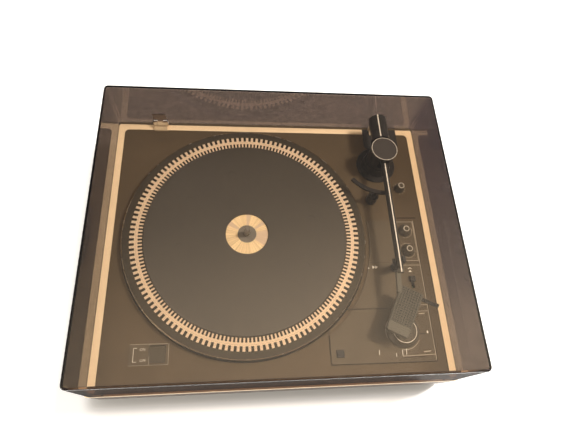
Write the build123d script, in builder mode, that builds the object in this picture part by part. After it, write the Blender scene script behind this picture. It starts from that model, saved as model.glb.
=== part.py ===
"""Belt-drive record player under a hinged smoked dust cover.

Millimetres, +Z up. The origin is the middle of the footprint, on the surface that the feet
stand on. X runs to the right along the front edge and Y runs to the rear.
"""
import os
from math import asin, cos, degrees, radians, sin

from build123d import *

os.makedirs("parts", exist_ok=True)

# Overall case
plinth_width = 420.0
plinth_depth = 350.0
plinth_height = 48.0
plinth_corner = 5.0
plinth_edge = 0.8
foot_height = 12.0
shell_wall = 3.0
deck_thickness = 3.0
deck_z = foot_height + plinth_height

# Clearances
lie_gap = 0.3
running_fit = 0.05
seat_gap = 0.15

# Spindle axis, from the left and front edges
spindle_from_left = 174.5
spindle_from_front = 181.5

# Platter
platter_radius = 151.0
platter_rise = 7.6
platter_height = 19.6
platter_skirt = 5.0
platter_plate = 5.0
platter_edge = 0.7
hub_hole_radius = 11.7
centre_disc_radius = 26.3
centre_disc_thickness = 0.8
mat_recess = 2.2
mat_thickness = 4.0
mat_dimple_circle = 84.0
mat_dimple_radius = 5.5
mat_dimple_depth = 0.5
mat_dimple_count = 8
rim_land = 9.3
strobe_width = 15.6
strobe_thickness = 0.5
platter_top = deck_z + platter_rise
platter_under = platter_top - platter_plate
mat_top = platter_top - mat_recess + mat_thickness
strobe_outer_radius = platter_radius - rim_land
mat_outer_radius = strobe_outer_radius - strobe_width

# Platter well
platter_gap = 2.0
well_depth = 16.0
well_radius = platter_radius + platter_gap
well_floor = deck_z - well_depth
floor_under = well_floor - shell_wall

# Sub-platter, spindle and main bearing
subplatter_radius = 68.0
subplatter_plate = 3.0
subplatter_rim_height = 10.0
subplatter_rim_wall = 3.0
subplatter_hub_radius = 14.0
subplatter_hub_drop = 6.6
hub_recess = 0.6
spindle_radius = 3.6
spindle_above_mat = 14.5
spindle_nose = 2.2
shaft_radius = 4.0
ball_radius = 2.5
bearing_barrel_radius = 10.0
bearing_flange_radius = 20.0
bearing_flange = 3.0
bearing_bore_radius = 6.0
bearing_end_wall = 3.0
bearing_depth = 17.0
bush_length = 8.0
bearing_screw_circle = 15.0
small_screw_radius = 1.6
well_screw_head_radius = 2.7
well_screw_head_height = 1.4

# Belt, pulley and motor
motor_angle = 135.0
motor_distance = 105.0
pulley_radius = 7.0
pulley_flange = 1.2
pulley_flange_height = 0.9
belt_width = 5.0
belt_thickness = 0.8
belt_gap = 0.3
belt_drop = 2.8
motor_radius = 18.5
motor_edge = 1.5
motor_bore_depth = 8.0
motor_height = 20.0
motor_plate_radius = 24.0
motor_plate = 1.5
motor_shaft_radius = 1.5
motor_boss_radius = 8.0
motor_screw_circle = 21.0

# Champagne trim strips
trim_edge = 3.6
trim_width = 8.1
trim_thickness = 1.2
trim_proud = 0.3
trim_inner_radius = 6.0
rear_cover_width = 50.0
rear_cover_from_right = 27.5
front_trim_depth = 2.4
front_trim_height = 5.0

# Dust cover
lid_gap = 1.0
lid_height = 80.0
lid_wall = 2.8
lid_top_thickness = 3.0
lid_inset = 0.5
lid_front_inset = 0.3
lid_taper = 2.0
lid_corner = 8.0
lid_edge = 1.8
buffer_radius = 1.2
buffer_from_side = 20.0

# Lid hinges
hinge_from_side = 59.0
hinge_inset = 4.5
hinge_rise = 5.0
hinge_ear_radius = 4.0
hinge_ear_outer = 8.5
hinge_ear_inner = 3.9
hinge_knuckle_half = 3.5
hinge_knuckle_radius = 3.7
hinge_foot_depth = 9.0
hinge_foot_height = 2.0
hinge_pin_radius = 1.5
hinge_plate_height = 24.0
hinge_plate_half = 8.8
hinge_plate_thickness = 1.7
hinge_notch_gap = 1.5
lid_rear_gap = 1.0

# Control panel
panel_width = 126.0
panel_depth = 178.5
panel_from_right = 24.5
panel_from_front = 23.0
panel_thickness = 1.3
panel_platter_gap = 7.0
panel_corner = 2.0
panel_groove_width = 1.2
panel_groove_depth = 0.6
panel_rear_groove_setback = 57.8
panel_front_groove_setback = 116.0
pitch_field_from_right = 2.5
pitch_field_width = 20.0
pitch_field_depth = 0.4
pitch_field_rear_rim = 2.0
pitch_field_front_rim = 3.0

# Conical control knobs
pitch_from_right = 38.4
pitch_from_front = 187.5
pitch_spacing = 27.4
pitch_base_radius = 8.3
pitch_top_radius = 4.2
pitch_height = 7.6
knob_skirt_height = 1.6
knob_stem_radius = 3.0
pot_radius = 8.5
pot_height = 9.0
case_floor = 2.0
skate_from_right = 36.1
skate_from_rear = 99.9
skate_base_radius = 6.8
skate_top_radius = 4.2
skate_height = 10.0
dial_from_right = 61.2
dial_from_front = 57.8
dial_base_radius = 19.5
dial_top_radius = 15.2
dial_height = 7.4
dial_stem_radius = 4.0
selector_radius = 15.0
selector_height = 14.0

# Arm lift lever on the panel
lever_from_right = 39.0
lever_from_front = 121.6
lever_size = 7.0
lever_rise = 3.4
lever_travel = 8.0
lever_stem_width = 3.6
lever_stem_length = 6.0
lever_foot_width = 8.0
lever_foot_length = 12.0
lever_foot = 2.0

# Start button on the panel
start_from_right = 139.5
start_from_front = 34.6
start_width = 8.9
start_length = 8.4
start_rise = 1.6
start_cap = 5.0
start_travel = 1.2
start_stem_radius = 2.0
start_stem = 6.0
start_switch_size = 12.0
start_switch_height = 10.0

# Power rocker
power_from_left = 65.0
power_from_front = 41.6
power_plate_width = 42.0
power_plate_length = 21.7
power_plate = 1.4
power_button_offset = 9.0
power_button_width = 17.8
power_button_length = 17.4
power_button_rise = 3.2
power_button_drop = 4.0
power_pivot_drop = 1.0
power_tilt = 6.0
power_opening_width = 18.4
power_opening_length = 19.0
power_collar_wall = 1.5
power_collar_depth = 10.0
power_pin_radius = 1.5
power_switch_height = 16.0

# Tonearm
pivot_from_right = 65.0
pivot_from_rear = 63.4
arm_axis = 33.0
arm_base_radius = 27.0
arm_base_flange = 3.0
arm_column_radius = 20.0
arm_column_top_radius = 17.5
arm_column_height = 14.0
arm_sleeve_radius = 12.0
arm_sleeve_depth = 14.0
arm_nut_size = 32.0
arm_nut_height = 5.0
arm_shaft_radius = 4.0
arm_shaft_drop = 20.0
yoke_radius = 16.5
yoke_top = 39.5
yoke_floor = 21.0
yoke_slot = 13.0
cap_radius = 17.15
cap_height = 4.0
cap_edge = 0.6
trunnion_width = 10.0
trunnion_length = 12.0
trunnion_height = 9.0
gimbal_pin_radius = 1.5
gimbal_pin_length = 12.8
gimbal_pin_overlap = 3.5
tube_radius = 4.0
tube_bore = 3.2
tube_reach = 161.6
weight_front = 18.5
weight_rear = 54.8
weight_radius = 12.0
force_dial_radius = 12.5
force_dial_length = 6.0
arm_up_angle = 6.0
arm_down_angle = 1.4
arm_swing_angle = 46.0

# Headshell and cartridge
head_reach = 210.4
head_sideways = 0.4
head_angle = 27.5
head_length = 56.0
head_rear_width = 28.0
head_front_width = 26.0
head_top = 29.5
head_plate = 2.5
head_skirt = 7.0
head_wall = 1.6
neck_collar_radius = 5.2
neck_width = 22.5
neck_height = 6.0
neck_corner = 2.5
neck_drop = 0.8
finger_y = 23.3
finger_root = 7.0
finger_reach = 20.5
finger_tip = 7.0
finger_rise = 3.0
finger_width = 4.2
finger_thickness = 1.4
cartridge_y = -13.0
cartridge_width = 14.0
cartridge_length = 17.0
cartridge_height = 9.4
stylus_y = -18.0
stylus_holder_height = 1.6
stylus_drop = 14.5

# Arm rest and cueing lift
rest_reach = 149.6
rest_post_width = 3.2
rest_post_length = 8.0
rest_ledge = 9.0
rest_foot_radius = 6.0
lift_radius = 56.0
lift_bar_width = 5.0
lift_bar_height = 3.0
lift_start_angle = -5.0
lift_end_angle = 50.0
lift_post_angle = 14.0
lift_post_radius = 3.0
lift_housing_radius = 7.0
lift_housing_height = 14.0
lift_travel = 1.4

# Bottom cover, feet and fasteners
base_thickness = 2.5
base_gap = 0.4
boss_radius = 5.0
boss_from_edge = 18.0
mid_boss_from_right = 148.0
screw_bite = 8.0
screw_head_radius = 3.4
screw_head_height = 2.2
foot_from_edge = 45.0
foot_top_radius = 16.0
foot_bottom_radius = 13.5
foot_edge = 1.0
foot_web = 9.0
vent_length = 44.0
vent_width = 4.0
vent_pitch = 10.0
vent_count = 7
vent_offset = 64.0

# Parts on the bottom cover
transformer_from_left = 44.0
transformer_from_rear = 157.0
transformer_width = 44.0
transformer_length = 36.0
transformer_height = 24.0
coil_width = 26.0
coil_length = 48.0
coil_height = 16.0
board_from_right = 48.0
board_from_front = 85.0
board_width = 66.0
board_length = 116.0
board_thickness = 1.6
standoff_height = 10.0
standoff_radius = 3.0
standoff_inset = 5.0
capacitor_radius = 6.0
capacitor_height = 8.0
capacitor_pitch = 16.0
capacitor_setback = 18.0
heat_plate_length = 30.0
heat_plate_thickness = 4.0
heat_plate_inset = 13.0
chip_width = 5.0
chip_length = 8.0
chip_height = 4.0
chip_pitch_x = 9.0
chip_pitch_y = 12.0
chip_inset = 13.0

# Cord glands in the rear wall
gland_from_left = 60.0
gland_spacing = 26.0
gland_z = 30.0
gland_bore = 3.5
gland_body_radius = 6.0
gland_flange_radius = 8.0
gland_flange = 2.0
gland_length = 12.0


def keep(piece, name):
    """Label a finished piece and write its STEP file."""
    piece.part.label = name
    export_step(piece.part, f"parts/{name}.step")


def upright(x, y):
    """Vertical plane through (x, y) that faces the front: local X is X and local Y is Z."""
    return Plane((x, y, 0), x_dir=(1, 0, 0), z_dir=(0, -1, 0))


def vertical(x, y):
    """Vertical axis through (x, y)."""
    return Axis((x, y, 0), (0, 0, 1))


def level(z, x=0.0, y=0.0):
    """Horizontal plane at height z with its local origin above (x, y)."""
    return Plane((x, y, z), x_dir=(1, 0, 0), z_dir=(0, 0, 1))


# Derived places
left_edge = -plinth_width / 2
right_edge = plinth_width / 2
front_edge = -plinth_depth / 2
rear_edge = plinth_depth / 2
spindle_x = left_edge + spindle_from_left
spindle_y = front_edge + spindle_from_front
trim_break_right = right_edge - rear_cover_from_right
trim_break_left = trim_break_right - rear_cover_width
hinge_offset = right_edge - hinge_from_side
panel_right = right_edge - panel_from_right
panel_left = panel_right - panel_width
panel_front = front_edge + panel_from_front
panel_rear = panel_front + panel_depth
panel_top = deck_z + panel_thickness
panel_groove_rear = panel_rear - panel_rear_groove_setback
panel_groove_front = panel_rear - panel_front_groove_setback
pitch_x = right_edge - pitch_from_right
pitch_rear_y = front_edge + pitch_from_front
skate_x = right_edge - skate_from_right
skate_y = rear_edge - skate_from_rear
dial_x = right_edge - dial_from_right
dial_y = front_edge + dial_from_front
lever_x = right_edge - lever_from_right
lever_y = front_edge + lever_from_front
start_x = right_edge - start_from_right
start_y = front_edge + start_from_front
power_x = left_edge + power_from_left
power_y = front_edge + power_from_front
power_button_x = power_x + power_button_offset
pivot_x = right_edge - pivot_from_right
pivot_y = rear_edge - pivot_from_rear
tube_end_y = pivot_y - tube_reach
head_x = pivot_x - head_sideways
head_y = pivot_y - head_reach
rest_y = pivot_y - rest_reach
boss_x = right_edge - boss_from_edge
boss_y = rear_edge - boss_from_edge
mid_boss_x = right_edge - mid_boss_from_right
foot_x = right_edge - foot_from_edge
foot_y = rear_edge - foot_from_edge
transformer_x = left_edge + transformer_from_left
transformer_y = rear_edge - transformer_from_rear
board_x = right_edge - board_from_right
board_y = front_edge + board_from_front
gland_x = left_edge + gland_from_left
motor_x = spindle_x + motor_distance * cos(radians(motor_angle))
motor_y = spindle_y + motor_distance * sin(radians(motor_angle))
belt_top = platter_under - subplatter_plate - belt_drop
belt_bottom = belt_top - belt_width
arm_z = deck_z + arm_axis
head_turn = -head_angle
bearing_bottom = floor_under - bearing_depth - bearing_end_wall
bearing_floor = floor_under - bearing_depth
bearing_top = platter_under - subplatter_hub_drop - subplatter_plate - lie_gap
shaft_bottom = bearing_floor + 2 * ball_radius + running_fit
hinge_y = plinth_depth / 2 - hinge_inset
hinge_z = deck_z + hinge_rise
trim_top = deck_z + trim_proud
trim_seat = trim_top - trim_thickness
trim_rear = plinth_depth / 2 - trim_edge
lid_bottom = deck_z + lid_gap
lid_rear = plinth_depth / 2 - lid_inset
lid_front = -plinth_depth / 2 + lid_front_inset
lid_depth = lid_rear - lid_front
lid_centre_y = (lid_rear + lid_front) / 2
lid_width = plinth_width - 2 * lid_inset
panel_circle = platter_radius + panel_platter_gap
power_pivot_z = deck_z - power_pivot_drop
base_top = foot_height + base_thickness
boss_places = [
    (-boss_x, -boss_y), (boss_x, -boss_y), (-boss_x, boss_y),
    (boss_x, boss_y), (mid_boss_x, -boss_y), (mid_boss_x, boss_y),
]
foot_places = [(-foot_x, -foot_y), (foot_x, -foot_y), (-foot_x, foot_y), (foot_x, foot_y)]
lift_post_x = pivot_x - lift_radius * sin(radians(lift_post_angle))
lift_post_y = pivot_y - lift_radius * cos(radians(lift_post_angle))
lift_droop = lift_radius * sin(radians(arm_down_angle))
lift_bar_top = arm_z - tube_radius - lift_droop - lie_gap - seat_gap
pitch_ys = [pitch_rear_y, pitch_rear_y - pitch_spacing]
gland_xs = [gland_x, gland_x + gland_spacing]
lever_slot_front = lever_y - lever_stem_length / 2 - lever_travel - lie_gap
lever_slot_rear = lever_y + lever_stem_length / 2 + lie_gap


def trim_outline(side, break_x, z, grow=0.0):
    """L-shaped outline of one trim strip: side is -1 on the left and 1 on the right."""
    outer = side * (plinth_width / 2 - trim_edge + grow)
    inner = side * (plinth_width / 2 - trim_edge - trim_width - grow)
    rear = trim_rear + grow
    rear_inner = trim_rear - trim_width - grow
    front = -plinth_depth / 2 + front_trim_depth + seat_gap - grow
    end = break_x - side * grow
    with BuildSketch(Plane.XY.offset(z)) as outline:
        with BuildLine():
            Polyline((outer, front), (outer, rear), (end, rear), (end, rear_inner),
                     (inner, rear_inner), (inner, front), close=True)
        make_face()
        bend = outline.vertices().sort_by_distance((inner, rear_inner, 0))[0]
        fillet(bend, trim_inner_radius - grow)
    return outline.sketch


def rear_cover_outline(z, grow=0.0):
    """Outline of the black cover between the two trim strips, behind the tonearm."""
    left = trim_break_left + seat_gap - grow
    right = trim_break_right - seat_gap + grow
    rear = trim_rear + grow
    front = pivot_y + arm_base_radius + 2 * seat_gap - grow
    with BuildSketch(Plane.XY.offset(z)) as outline:
        with Locations(((left + right) / 2, (front + rear) / 2)):
            Rectangle(right - left, rear - front)
        fillet(outline.vertices().group_by(Axis.Y)[0], trim_inner_radius)
    return outline.sketch


def panel_outline(z, grow=0.0):
    """Outline of the control panel: a rectangle bitten off by a circle round the platter."""
    with BuildSketch(Plane.XY.offset(z)) as outline:
        with Locations(((panel_left + panel_right) / 2, (panel_front + panel_rear) / 2)):
            RectangleRounded(panel_right - panel_left + 2 * grow,
                             panel_rear - panel_front + 2 * grow, panel_corner + grow)
        with Locations((spindle_x, spindle_y)):
            Circle(panel_circle - grow, mode=Mode.SUBTRACT)
    return outline.sketch


# Plinth shell: deck, side walls and platter well in one moulding
with BuildPart() as plinth_shell:
    with BuildSketch(Plane.XY.offset(foot_height)):
        RectangleRounded(plinth_width, plinth_depth, plinth_corner)
    extrude(amount=plinth_height)
    fillet(plinth_shell.edges().group_by(Axis.Z)[-1], plinth_edge)
    with BuildSketch(Plane.XY.offset(foot_height)):
        RectangleRounded(plinth_width - 2 * shell_wall, plinth_depth - 2 * shell_wall,
                         plinth_corner - shell_wall)
    extrude(amount=plinth_height - deck_thickness, mode=Mode.SUBTRACT)
    with BuildSketch(Plane.XY.offset(floor_under)):
        with Locations((spindle_x, spindle_y)):
            Circle(well_radius + shell_wall)
    extrude(amount=well_depth + shell_wall)
    with BuildSketch(Plane.XY.offset(well_floor)):
        with Locations((spindle_x, spindle_y)):
            Circle(well_radius)
    extrude(amount=well_depth, mode=Mode.SUBTRACT)
    with BuildSketch(Plane.XY.offset(base_top)):
        with Locations(*boss_places):
            Circle(boss_radius)
    extrude(amount=deck_z - deck_thickness - base_top)
    with BuildSketch(Plane.XY.offset(base_top)):
        with Locations(*boss_places):
            Circle(small_screw_radius)
    extrude(amount=(deck_z - deck_thickness - base_top) / 2, mode=Mode.SUBTRACT)
    with BuildSketch(Plane.XY.offset(floor_under)):
        with Locations((spindle_x, spindle_y)):
            Circle(bearing_barrel_radius + seat_gap)
        with Locations((motor_x, motor_y)):
            Circle(motor_boss_radius + 1.0)
            with PolarLocations(motor_screw_circle, 3):
                Circle(small_screw_radius)
        with Locations((spindle_x, spindle_y)):
            with PolarLocations(bearing_screw_circle, 3):
                Circle(small_screw_radius)
    extrude(amount=shell_wall, mode=Mode.SUBTRACT)
    with BuildSketch(Plane.XY.offset(deck_z)):
        with Locations(*[(pitch_x, y) for y in pitch_ys], (skate_x, skate_y)):
            Circle(knob_stem_radius + lie_gap)
        with Locations((dial_x, dial_y)):
            Circle(dial_stem_radius + lie_gap)
        with Locations((lever_x, (lever_slot_front + lever_slot_rear) / 2)):
            Rectangle(lever_stem_width + 2 * lie_gap, lever_slot_rear - lever_slot_front)
        with Locations((start_x, start_y)):
            Rectangle(start_width + 2 * lie_gap, start_length + 2 * lie_gap)
        with Locations((power_button_x, power_y)):
            Rectangle(power_opening_width + 2 * power_collar_wall + 2 * seat_gap,
                      power_opening_length + 2 * power_collar_wall + 2 * seat_gap)
        with Locations((pivot_x, pivot_y)):
            Circle(arm_sleeve_radius + seat_gap)
        with Locations((lift_post_x, lift_post_y)):
            Circle(lift_housing_radius - 2.0 + seat_gap)
    extrude(amount=-deck_thickness, mode=Mode.SUBTRACT)
    extrude(trim_outline(-1, trim_break_left, trim_seat, seat_gap),
            amount=trim_thickness, mode=Mode.SUBTRACT)
    extrude(trim_outline(1, trim_break_right, trim_seat, seat_gap),
            amount=trim_thickness, mode=Mode.SUBTRACT)
    extrude(rear_cover_outline(trim_seat, seat_gap), amount=trim_thickness, mode=Mode.SUBTRACT)
    with BuildSketch(Plane.XY.offset(deck_z - front_trim_height)):
        with Locations((0, -plinth_depth / 2 + front_trim_depth / 2)):
            Rectangle(plinth_width, front_trim_depth)
    extrude(amount=front_trim_height, mode=Mode.SUBTRACT)
    with BuildSketch(upright(0, plinth_depth / 2)):
        with Locations(*[(x, gland_z) for x in gland_xs]):
            Circle(gland_body_radius + seat_gap)
    extrude(amount=shell_wall, mode=Mode.SUBTRACT)
keep(plinth_shell, "plinth_shell")

# Bottom cover with cooling slots and board standoffs
board_holes_x = board_width / 2 - standoff_inset
board_holes_y = board_length / 2 - standoff_inset
with BuildPart() as base_plate:
    with BuildSketch(Plane.XY.offset(foot_height)):
        RectangleRounded(plinth_width - 2 * shell_wall - 2 * base_gap,
                         plinth_depth - 2 * shell_wall - 2 * base_gap,
                         plinth_corner - shell_wall)
        with Locations(*boss_places, *foot_places):
            Circle(small_screw_radius + lie_gap, mode=Mode.SUBTRACT)
        with Locations((transformer_x + vent_offset, transformer_y)):
            with GridLocations(vent_pitch, 1, vent_count, 1):
                SlotOverall(vent_length, vent_width, rotation=90, mode=Mode.SUBTRACT)
    extrude(amount=base_thickness)
    with BuildSketch(level(base_top, board_x, board_y)):
        with GridLocations(2 * board_holes_x, 2 * board_holes_y, 2, 2):
            Circle(standoff_radius)
    extrude(amount=standoff_height)
keep(base_plate, "base_plate")

# Screws that hold the bottom cover to the bosses
with BuildPart() as base_screws:
    with BuildSketch(Plane.XY.offset(foot_height - screw_head_height)):
        with Locations(*boss_places):
            Circle(screw_head_radius)
    extrude(amount=screw_head_height)
    with BuildSketch(Plane.XY.offset(foot_height)):
        with Locations(*boss_places):
            Circle(small_screw_radius - running_fit)
    extrude(amount=base_thickness + screw_bite)
keep(base_screws, "base_screws")

# Four rubber feet, each with a recess for its screw
with BuildPart() as feet:
    foot_screw_radius = screw_head_radius + 1.0
    for foot_px, foot_py in foot_places:
        with BuildSketch(upright(foot_px, foot_py)):
            with BuildLine():
                Polyline((0, foot_web), (foot_screw_radius, foot_web), (foot_screw_radius, 0),
                         (foot_bottom_radius - foot_edge, 0), (foot_bottom_radius, foot_edge),
                         (foot_top_radius, foot_height), (0, foot_height), close=True)
            make_face()
        revolve(axis=vertical(foot_px, foot_py))
keep(feet, "feet")

# Champagne trim strips let into the deck
with BuildPart() as trim_left:
    extrude(trim_outline(-1, trim_break_left, trim_seat), amount=trim_thickness)
keep(trim_left, "trim_left")

with BuildPart() as trim_right:
    extrude(trim_outline(1, trim_break_right, trim_seat), amount=trim_thickness)
keep(trim_right, "trim_right")

with BuildPart() as front_trim:
    with BuildSketch(Plane.XY.offset(deck_z - front_trim_height)):
        RectangleRounded(plinth_width, plinth_depth, plinth_corner)
        with Locations((0, -plinth_depth / 2 + front_trim_depth / 2)):
            Rectangle(plinth_width, front_trim_depth, mode=Mode.INTERSECT)
    extrude(amount=front_trim_height)
    fillet(front_trim.edges().filter_by(Axis.X).group_by(Axis.Y)[0], plinth_edge)
keep(front_trim, "front_trim")

with BuildPart() as rear_cover:
    extrude(rear_cover_outline(trim_seat), amount=trim_thickness)
keep(rear_cover, "rear_cover")

# Control panel: a thin raised moulding with two grooves and a sunk field for the pitch knobs
with BuildPart() as control_panel:
    extrude(panel_outline(deck_z), amount=panel_thickness)
    with BuildSketch(Plane.XY.offset(panel_top)):
        with Locations(*[((panel_left + panel_right) / 2, y)
                         for y in (panel_groove_rear, panel_groove_front)]):
            Rectangle(panel_right - panel_left + 2, panel_groove_width)
    extrude(amount=-panel_groove_depth, mode=Mode.SUBTRACT)
    pitch_field_front = panel_groove_rear + pitch_field_front_rim
    pitch_field_rear = panel_rear - pitch_field_rear_rim
    pitch_field_x = panel_right - pitch_field_from_right - pitch_field_width / 2
    with BuildSketch(Plane.XY.offset(panel_top)):
        with Locations((pitch_field_x, (pitch_field_front + pitch_field_rear) / 2)):
            Rectangle(pitch_field_width, pitch_field_rear - pitch_field_front)
    extrude(amount=-pitch_field_depth, mode=Mode.SUBTRACT)
    with BuildSketch(Plane.XY.offset(deck_z)):
        with Locations(*[(pitch_x, y) for y in pitch_ys]):
            Circle(knob_stem_radius + lie_gap)
        with Locations((dial_x, dial_y)):
            Circle(dial_stem_radius + lie_gap)
        with Locations((lever_x, (lever_slot_front + lever_slot_rear) / 2)):
            Rectangle(lever_stem_width + 2 * lie_gap, lever_slot_rear - lever_slot_front)
        with Locations((start_x, start_y)):
            Rectangle(start_width + 2 * lie_gap, start_length + 2 * lie_gap)
    extrude(amount=panel_thickness, mode=Mode.SUBTRACT)
keep(control_panel, "control_panel")

# Platter casting: plate, skirt and the seats for the mat, the strobe ring and the centre disc
with BuildPart() as platter:
    rim_inner = platter_radius - platter_skirt
    rim_bottom = platter_top - platter_height
    with BuildSketch(upright(spindle_x, spindle_y)):
        with BuildLine():
            Polyline(
                (hub_hole_radius, platter_under),
                (hub_hole_radius, platter_top - centre_disc_thickness),
                (centre_disc_radius, platter_top - centre_disc_thickness),
                (centre_disc_radius, platter_top - mat_recess),
                (mat_outer_radius, platter_top - mat_recess),
                (mat_outer_radius, platter_top - strobe_thickness),
                (strobe_outer_radius, platter_top - strobe_thickness),
                (strobe_outer_radius, platter_top),
                (platter_radius - platter_edge, platter_top),
                (platter_radius, platter_top - platter_edge),
                (platter_radius, rim_bottom),
                (rim_inner, rim_bottom),
                (rim_inner, platter_under),
                close=True)
        make_face()
    revolve(axis=vertical(spindle_x, spindle_y))
keep(platter, "platter")

with BuildPart() as strobe_ring:
    with BuildSketch(level(platter_top - strobe_thickness, spindle_x, spindle_y)):
        Circle(strobe_outer_radius)
        Circle(mat_outer_radius, mode=Mode.SUBTRACT)
    extrude(amount=strobe_thickness)
keep(strobe_ring, "strobe_ring")

with BuildPart() as centre_disc:
    with BuildSketch(level(platter_top - centre_disc_thickness, spindle_x, spindle_y)):
        Circle(centre_disc_radius)
        Circle(hub_hole_radius, mode=Mode.SUBTRACT)
    extrude(amount=centre_disc_thickness)
keep(centre_disc, "centre_disc")

# Rubber mat with a ring of round dimples
with BuildPart() as platter_mat:
    with BuildSketch(level(platter_top - mat_recess, spindle_x, spindle_y)):
        Circle(mat_outer_radius - lie_gap)
        Circle(centre_disc_radius + lie_gap, mode=Mode.SUBTRACT)
    extrude(amount=mat_thickness)
    chamfer(platter_mat.edges().filter_by(GeomType.CIRCLE).group_by(Axis.Z)[-1], platter_edge)
    with BuildSketch(level(mat_top, spindle_x, spindle_y)):
        with PolarLocations(mat_dimple_circle, mat_dimple_count, start_angle=-77):
            Circle(mat_dimple_radius)
    extrude(amount=-mat_dimple_depth, mode=Mode.SUBTRACT)
keep(platter_mat, "platter_mat")

# Sub-platter that the belt drives, with the hub that shows in the platter's centre hole
with BuildPart() as subplatter:
    plate_under = platter_under - subplatter_plate
    rim_low = plate_under - subplatter_rim_height
    with BuildSketch(upright(spindle_x, spindle_y)):
        with BuildLine():
            Polyline(
                (shaft_radius, platter_top - hub_recess),
                (hub_hole_radius - lie_gap, platter_top - hub_recess),
                (hub_hole_radius - lie_gap, platter_under),
                (subplatter_radius, platter_under),
                (subplatter_radius, rim_low),
                (subplatter_radius - subplatter_rim_wall, rim_low),
                (subplatter_radius - subplatter_rim_wall, plate_under),
                (subplatter_hub_radius, plate_under),
                (subplatter_hub_radius, plate_under - subplatter_hub_drop),
                (shaft_radius, plate_under - subplatter_hub_drop),
                close=True)
        make_face()
    revolve(axis=vertical(spindle_x, spindle_y))
keep(subplatter, "subplatter")

# Spindle: the pin that centres a record, in one piece with the bearing shaft
with BuildPart() as spindle:
    spindle_top = mat_top + spindle_above_mat
    nose_arc = (spindle_radius ** 2 + spindle_nose ** 2) / (2 * spindle_nose)
    nose_angle = asin(spindle_radius / nose_arc)
    with BuildSketch(upright(spindle_x, spindle_y)):
        with BuildLine():
            Polyline((0, shaft_bottom), (shaft_radius, shaft_bottom),
                     (shaft_radius, platter_top - hub_recess),
                     (spindle_radius, platter_top - hub_recess),
                     (spindle_radius, spindle_top - spindle_nose))
            ThreePointArc((spindle_radius, spindle_top - spindle_nose),
                          (nose_arc * sin(nose_angle / 2),
                           spindle_top - nose_arc + nose_arc * cos(nose_angle / 2)),
                          (0, spindle_top))
            Line((0, spindle_top), (0, shaft_bottom))
        make_face()
    revolve(axis=vertical(spindle_x, spindle_y))
keep(spindle, "spindle")

# Main bearing: housing under the well, two bronze bushes and a thrust ball
with BuildPart() as bearing_housing:
    with BuildSketch(upright(spindle_x, spindle_y)):
        with BuildLine():
            Polyline(
                (0, bearing_bottom), (bearing_barrel_radius, bearing_bottom),
                (bearing_barrel_radius, floor_under - bearing_flange),
                (bearing_flange_radius, floor_under - bearing_flange),
                (bearing_flange_radius, floor_under),
                (bearing_barrel_radius, floor_under),
                (bearing_barrel_radius, bearing_top),
                (bearing_bore_radius, bearing_top),
                (bearing_bore_radius, bearing_floor),
                (0, bearing_floor),
                close=True)
        make_face()
    revolve(axis=vertical(spindle_x, spindle_y))
    with BuildSketch(level(floor_under, spindle_x, spindle_y)):
        with PolarLocations(bearing_screw_circle, 3):
            Circle(small_screw_radius)
    extrude(amount=-bearing_flange, mode=Mode.SUBTRACT)
keep(bearing_housing, "bearing_housing")

with BuildPart() as bearing_bushes:
    lower_bush = shaft_bottom + 2.0
    for bush_bottom in (lower_bush, bearing_top - bush_length):
        with BuildSketch(level(bush_bottom, spindle_x, spindle_y)):
            Circle(bearing_bore_radius)
            Circle(shaft_radius + running_fit, mode=Mode.SUBTRACT)
        extrude(amount=bush_length)
keep(bearing_bushes, "bearing_bushes")

with BuildPart() as thrust_ball:
    with Locations((spindle_x, spindle_y, bearing_floor + ball_radius)):
        Sphere(ball_radius)
keep(thrust_ball, "thrust_ball")

# Motor can with its mounting plate, hung under the well floor
with BuildPart() as motor:
    motor_bottom = floor_under - motor_plate - motor_height
    with BuildSketch(upright(motor_x, motor_y)):
        with BuildLine():
            Polyline((0, motor_bottom), (motor_radius - motor_edge, motor_bottom),
                     (motor_radius, motor_bottom + motor_edge),
                     (motor_radius, floor_under - motor_plate),
                     (motor_plate_radius, floor_under - motor_plate),
                     (motor_plate_radius, floor_under),
                     (motor_boss_radius, floor_under),
                     (motor_boss_radius, well_floor),
                     (motor_shaft_radius + lie_gap, well_floor),
                     (motor_shaft_radius + lie_gap, well_floor - motor_bore_depth),
                     (0, well_floor - motor_bore_depth), close=True)
        make_face()
    revolve(axis=vertical(motor_x, motor_y))
    with BuildSketch(level(floor_under, motor_x, motor_y)):
        with PolarLocations(motor_screw_circle, 3):
            Circle(small_screw_radius)
    extrude(amount=-motor_plate, mode=Mode.SUBTRACT)
keep(motor, "motor")

# Screws through the well floor that hold the bearing and the motor
with BuildPart() as well_screws:
    for screw_x, screw_y, circle, plate in (
        (spindle_x, spindle_y, bearing_screw_circle, bearing_flange),
        (motor_x, motor_y, motor_screw_circle, motor_plate),
    ):
        with BuildSketch(level(well_floor, screw_x, screw_y)):
            with PolarLocations(circle, 3):
                Circle(well_screw_head_radius)
        extrude(amount=well_screw_head_height)
        with BuildSketch(level(floor_under - plate, screw_x, screw_y)):
            with PolarLocations(circle, 3):
                Circle(small_screw_radius - running_fit)
        extrude(amount=plate + shell_wall)
keep(well_screws, "well_screws")

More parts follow.
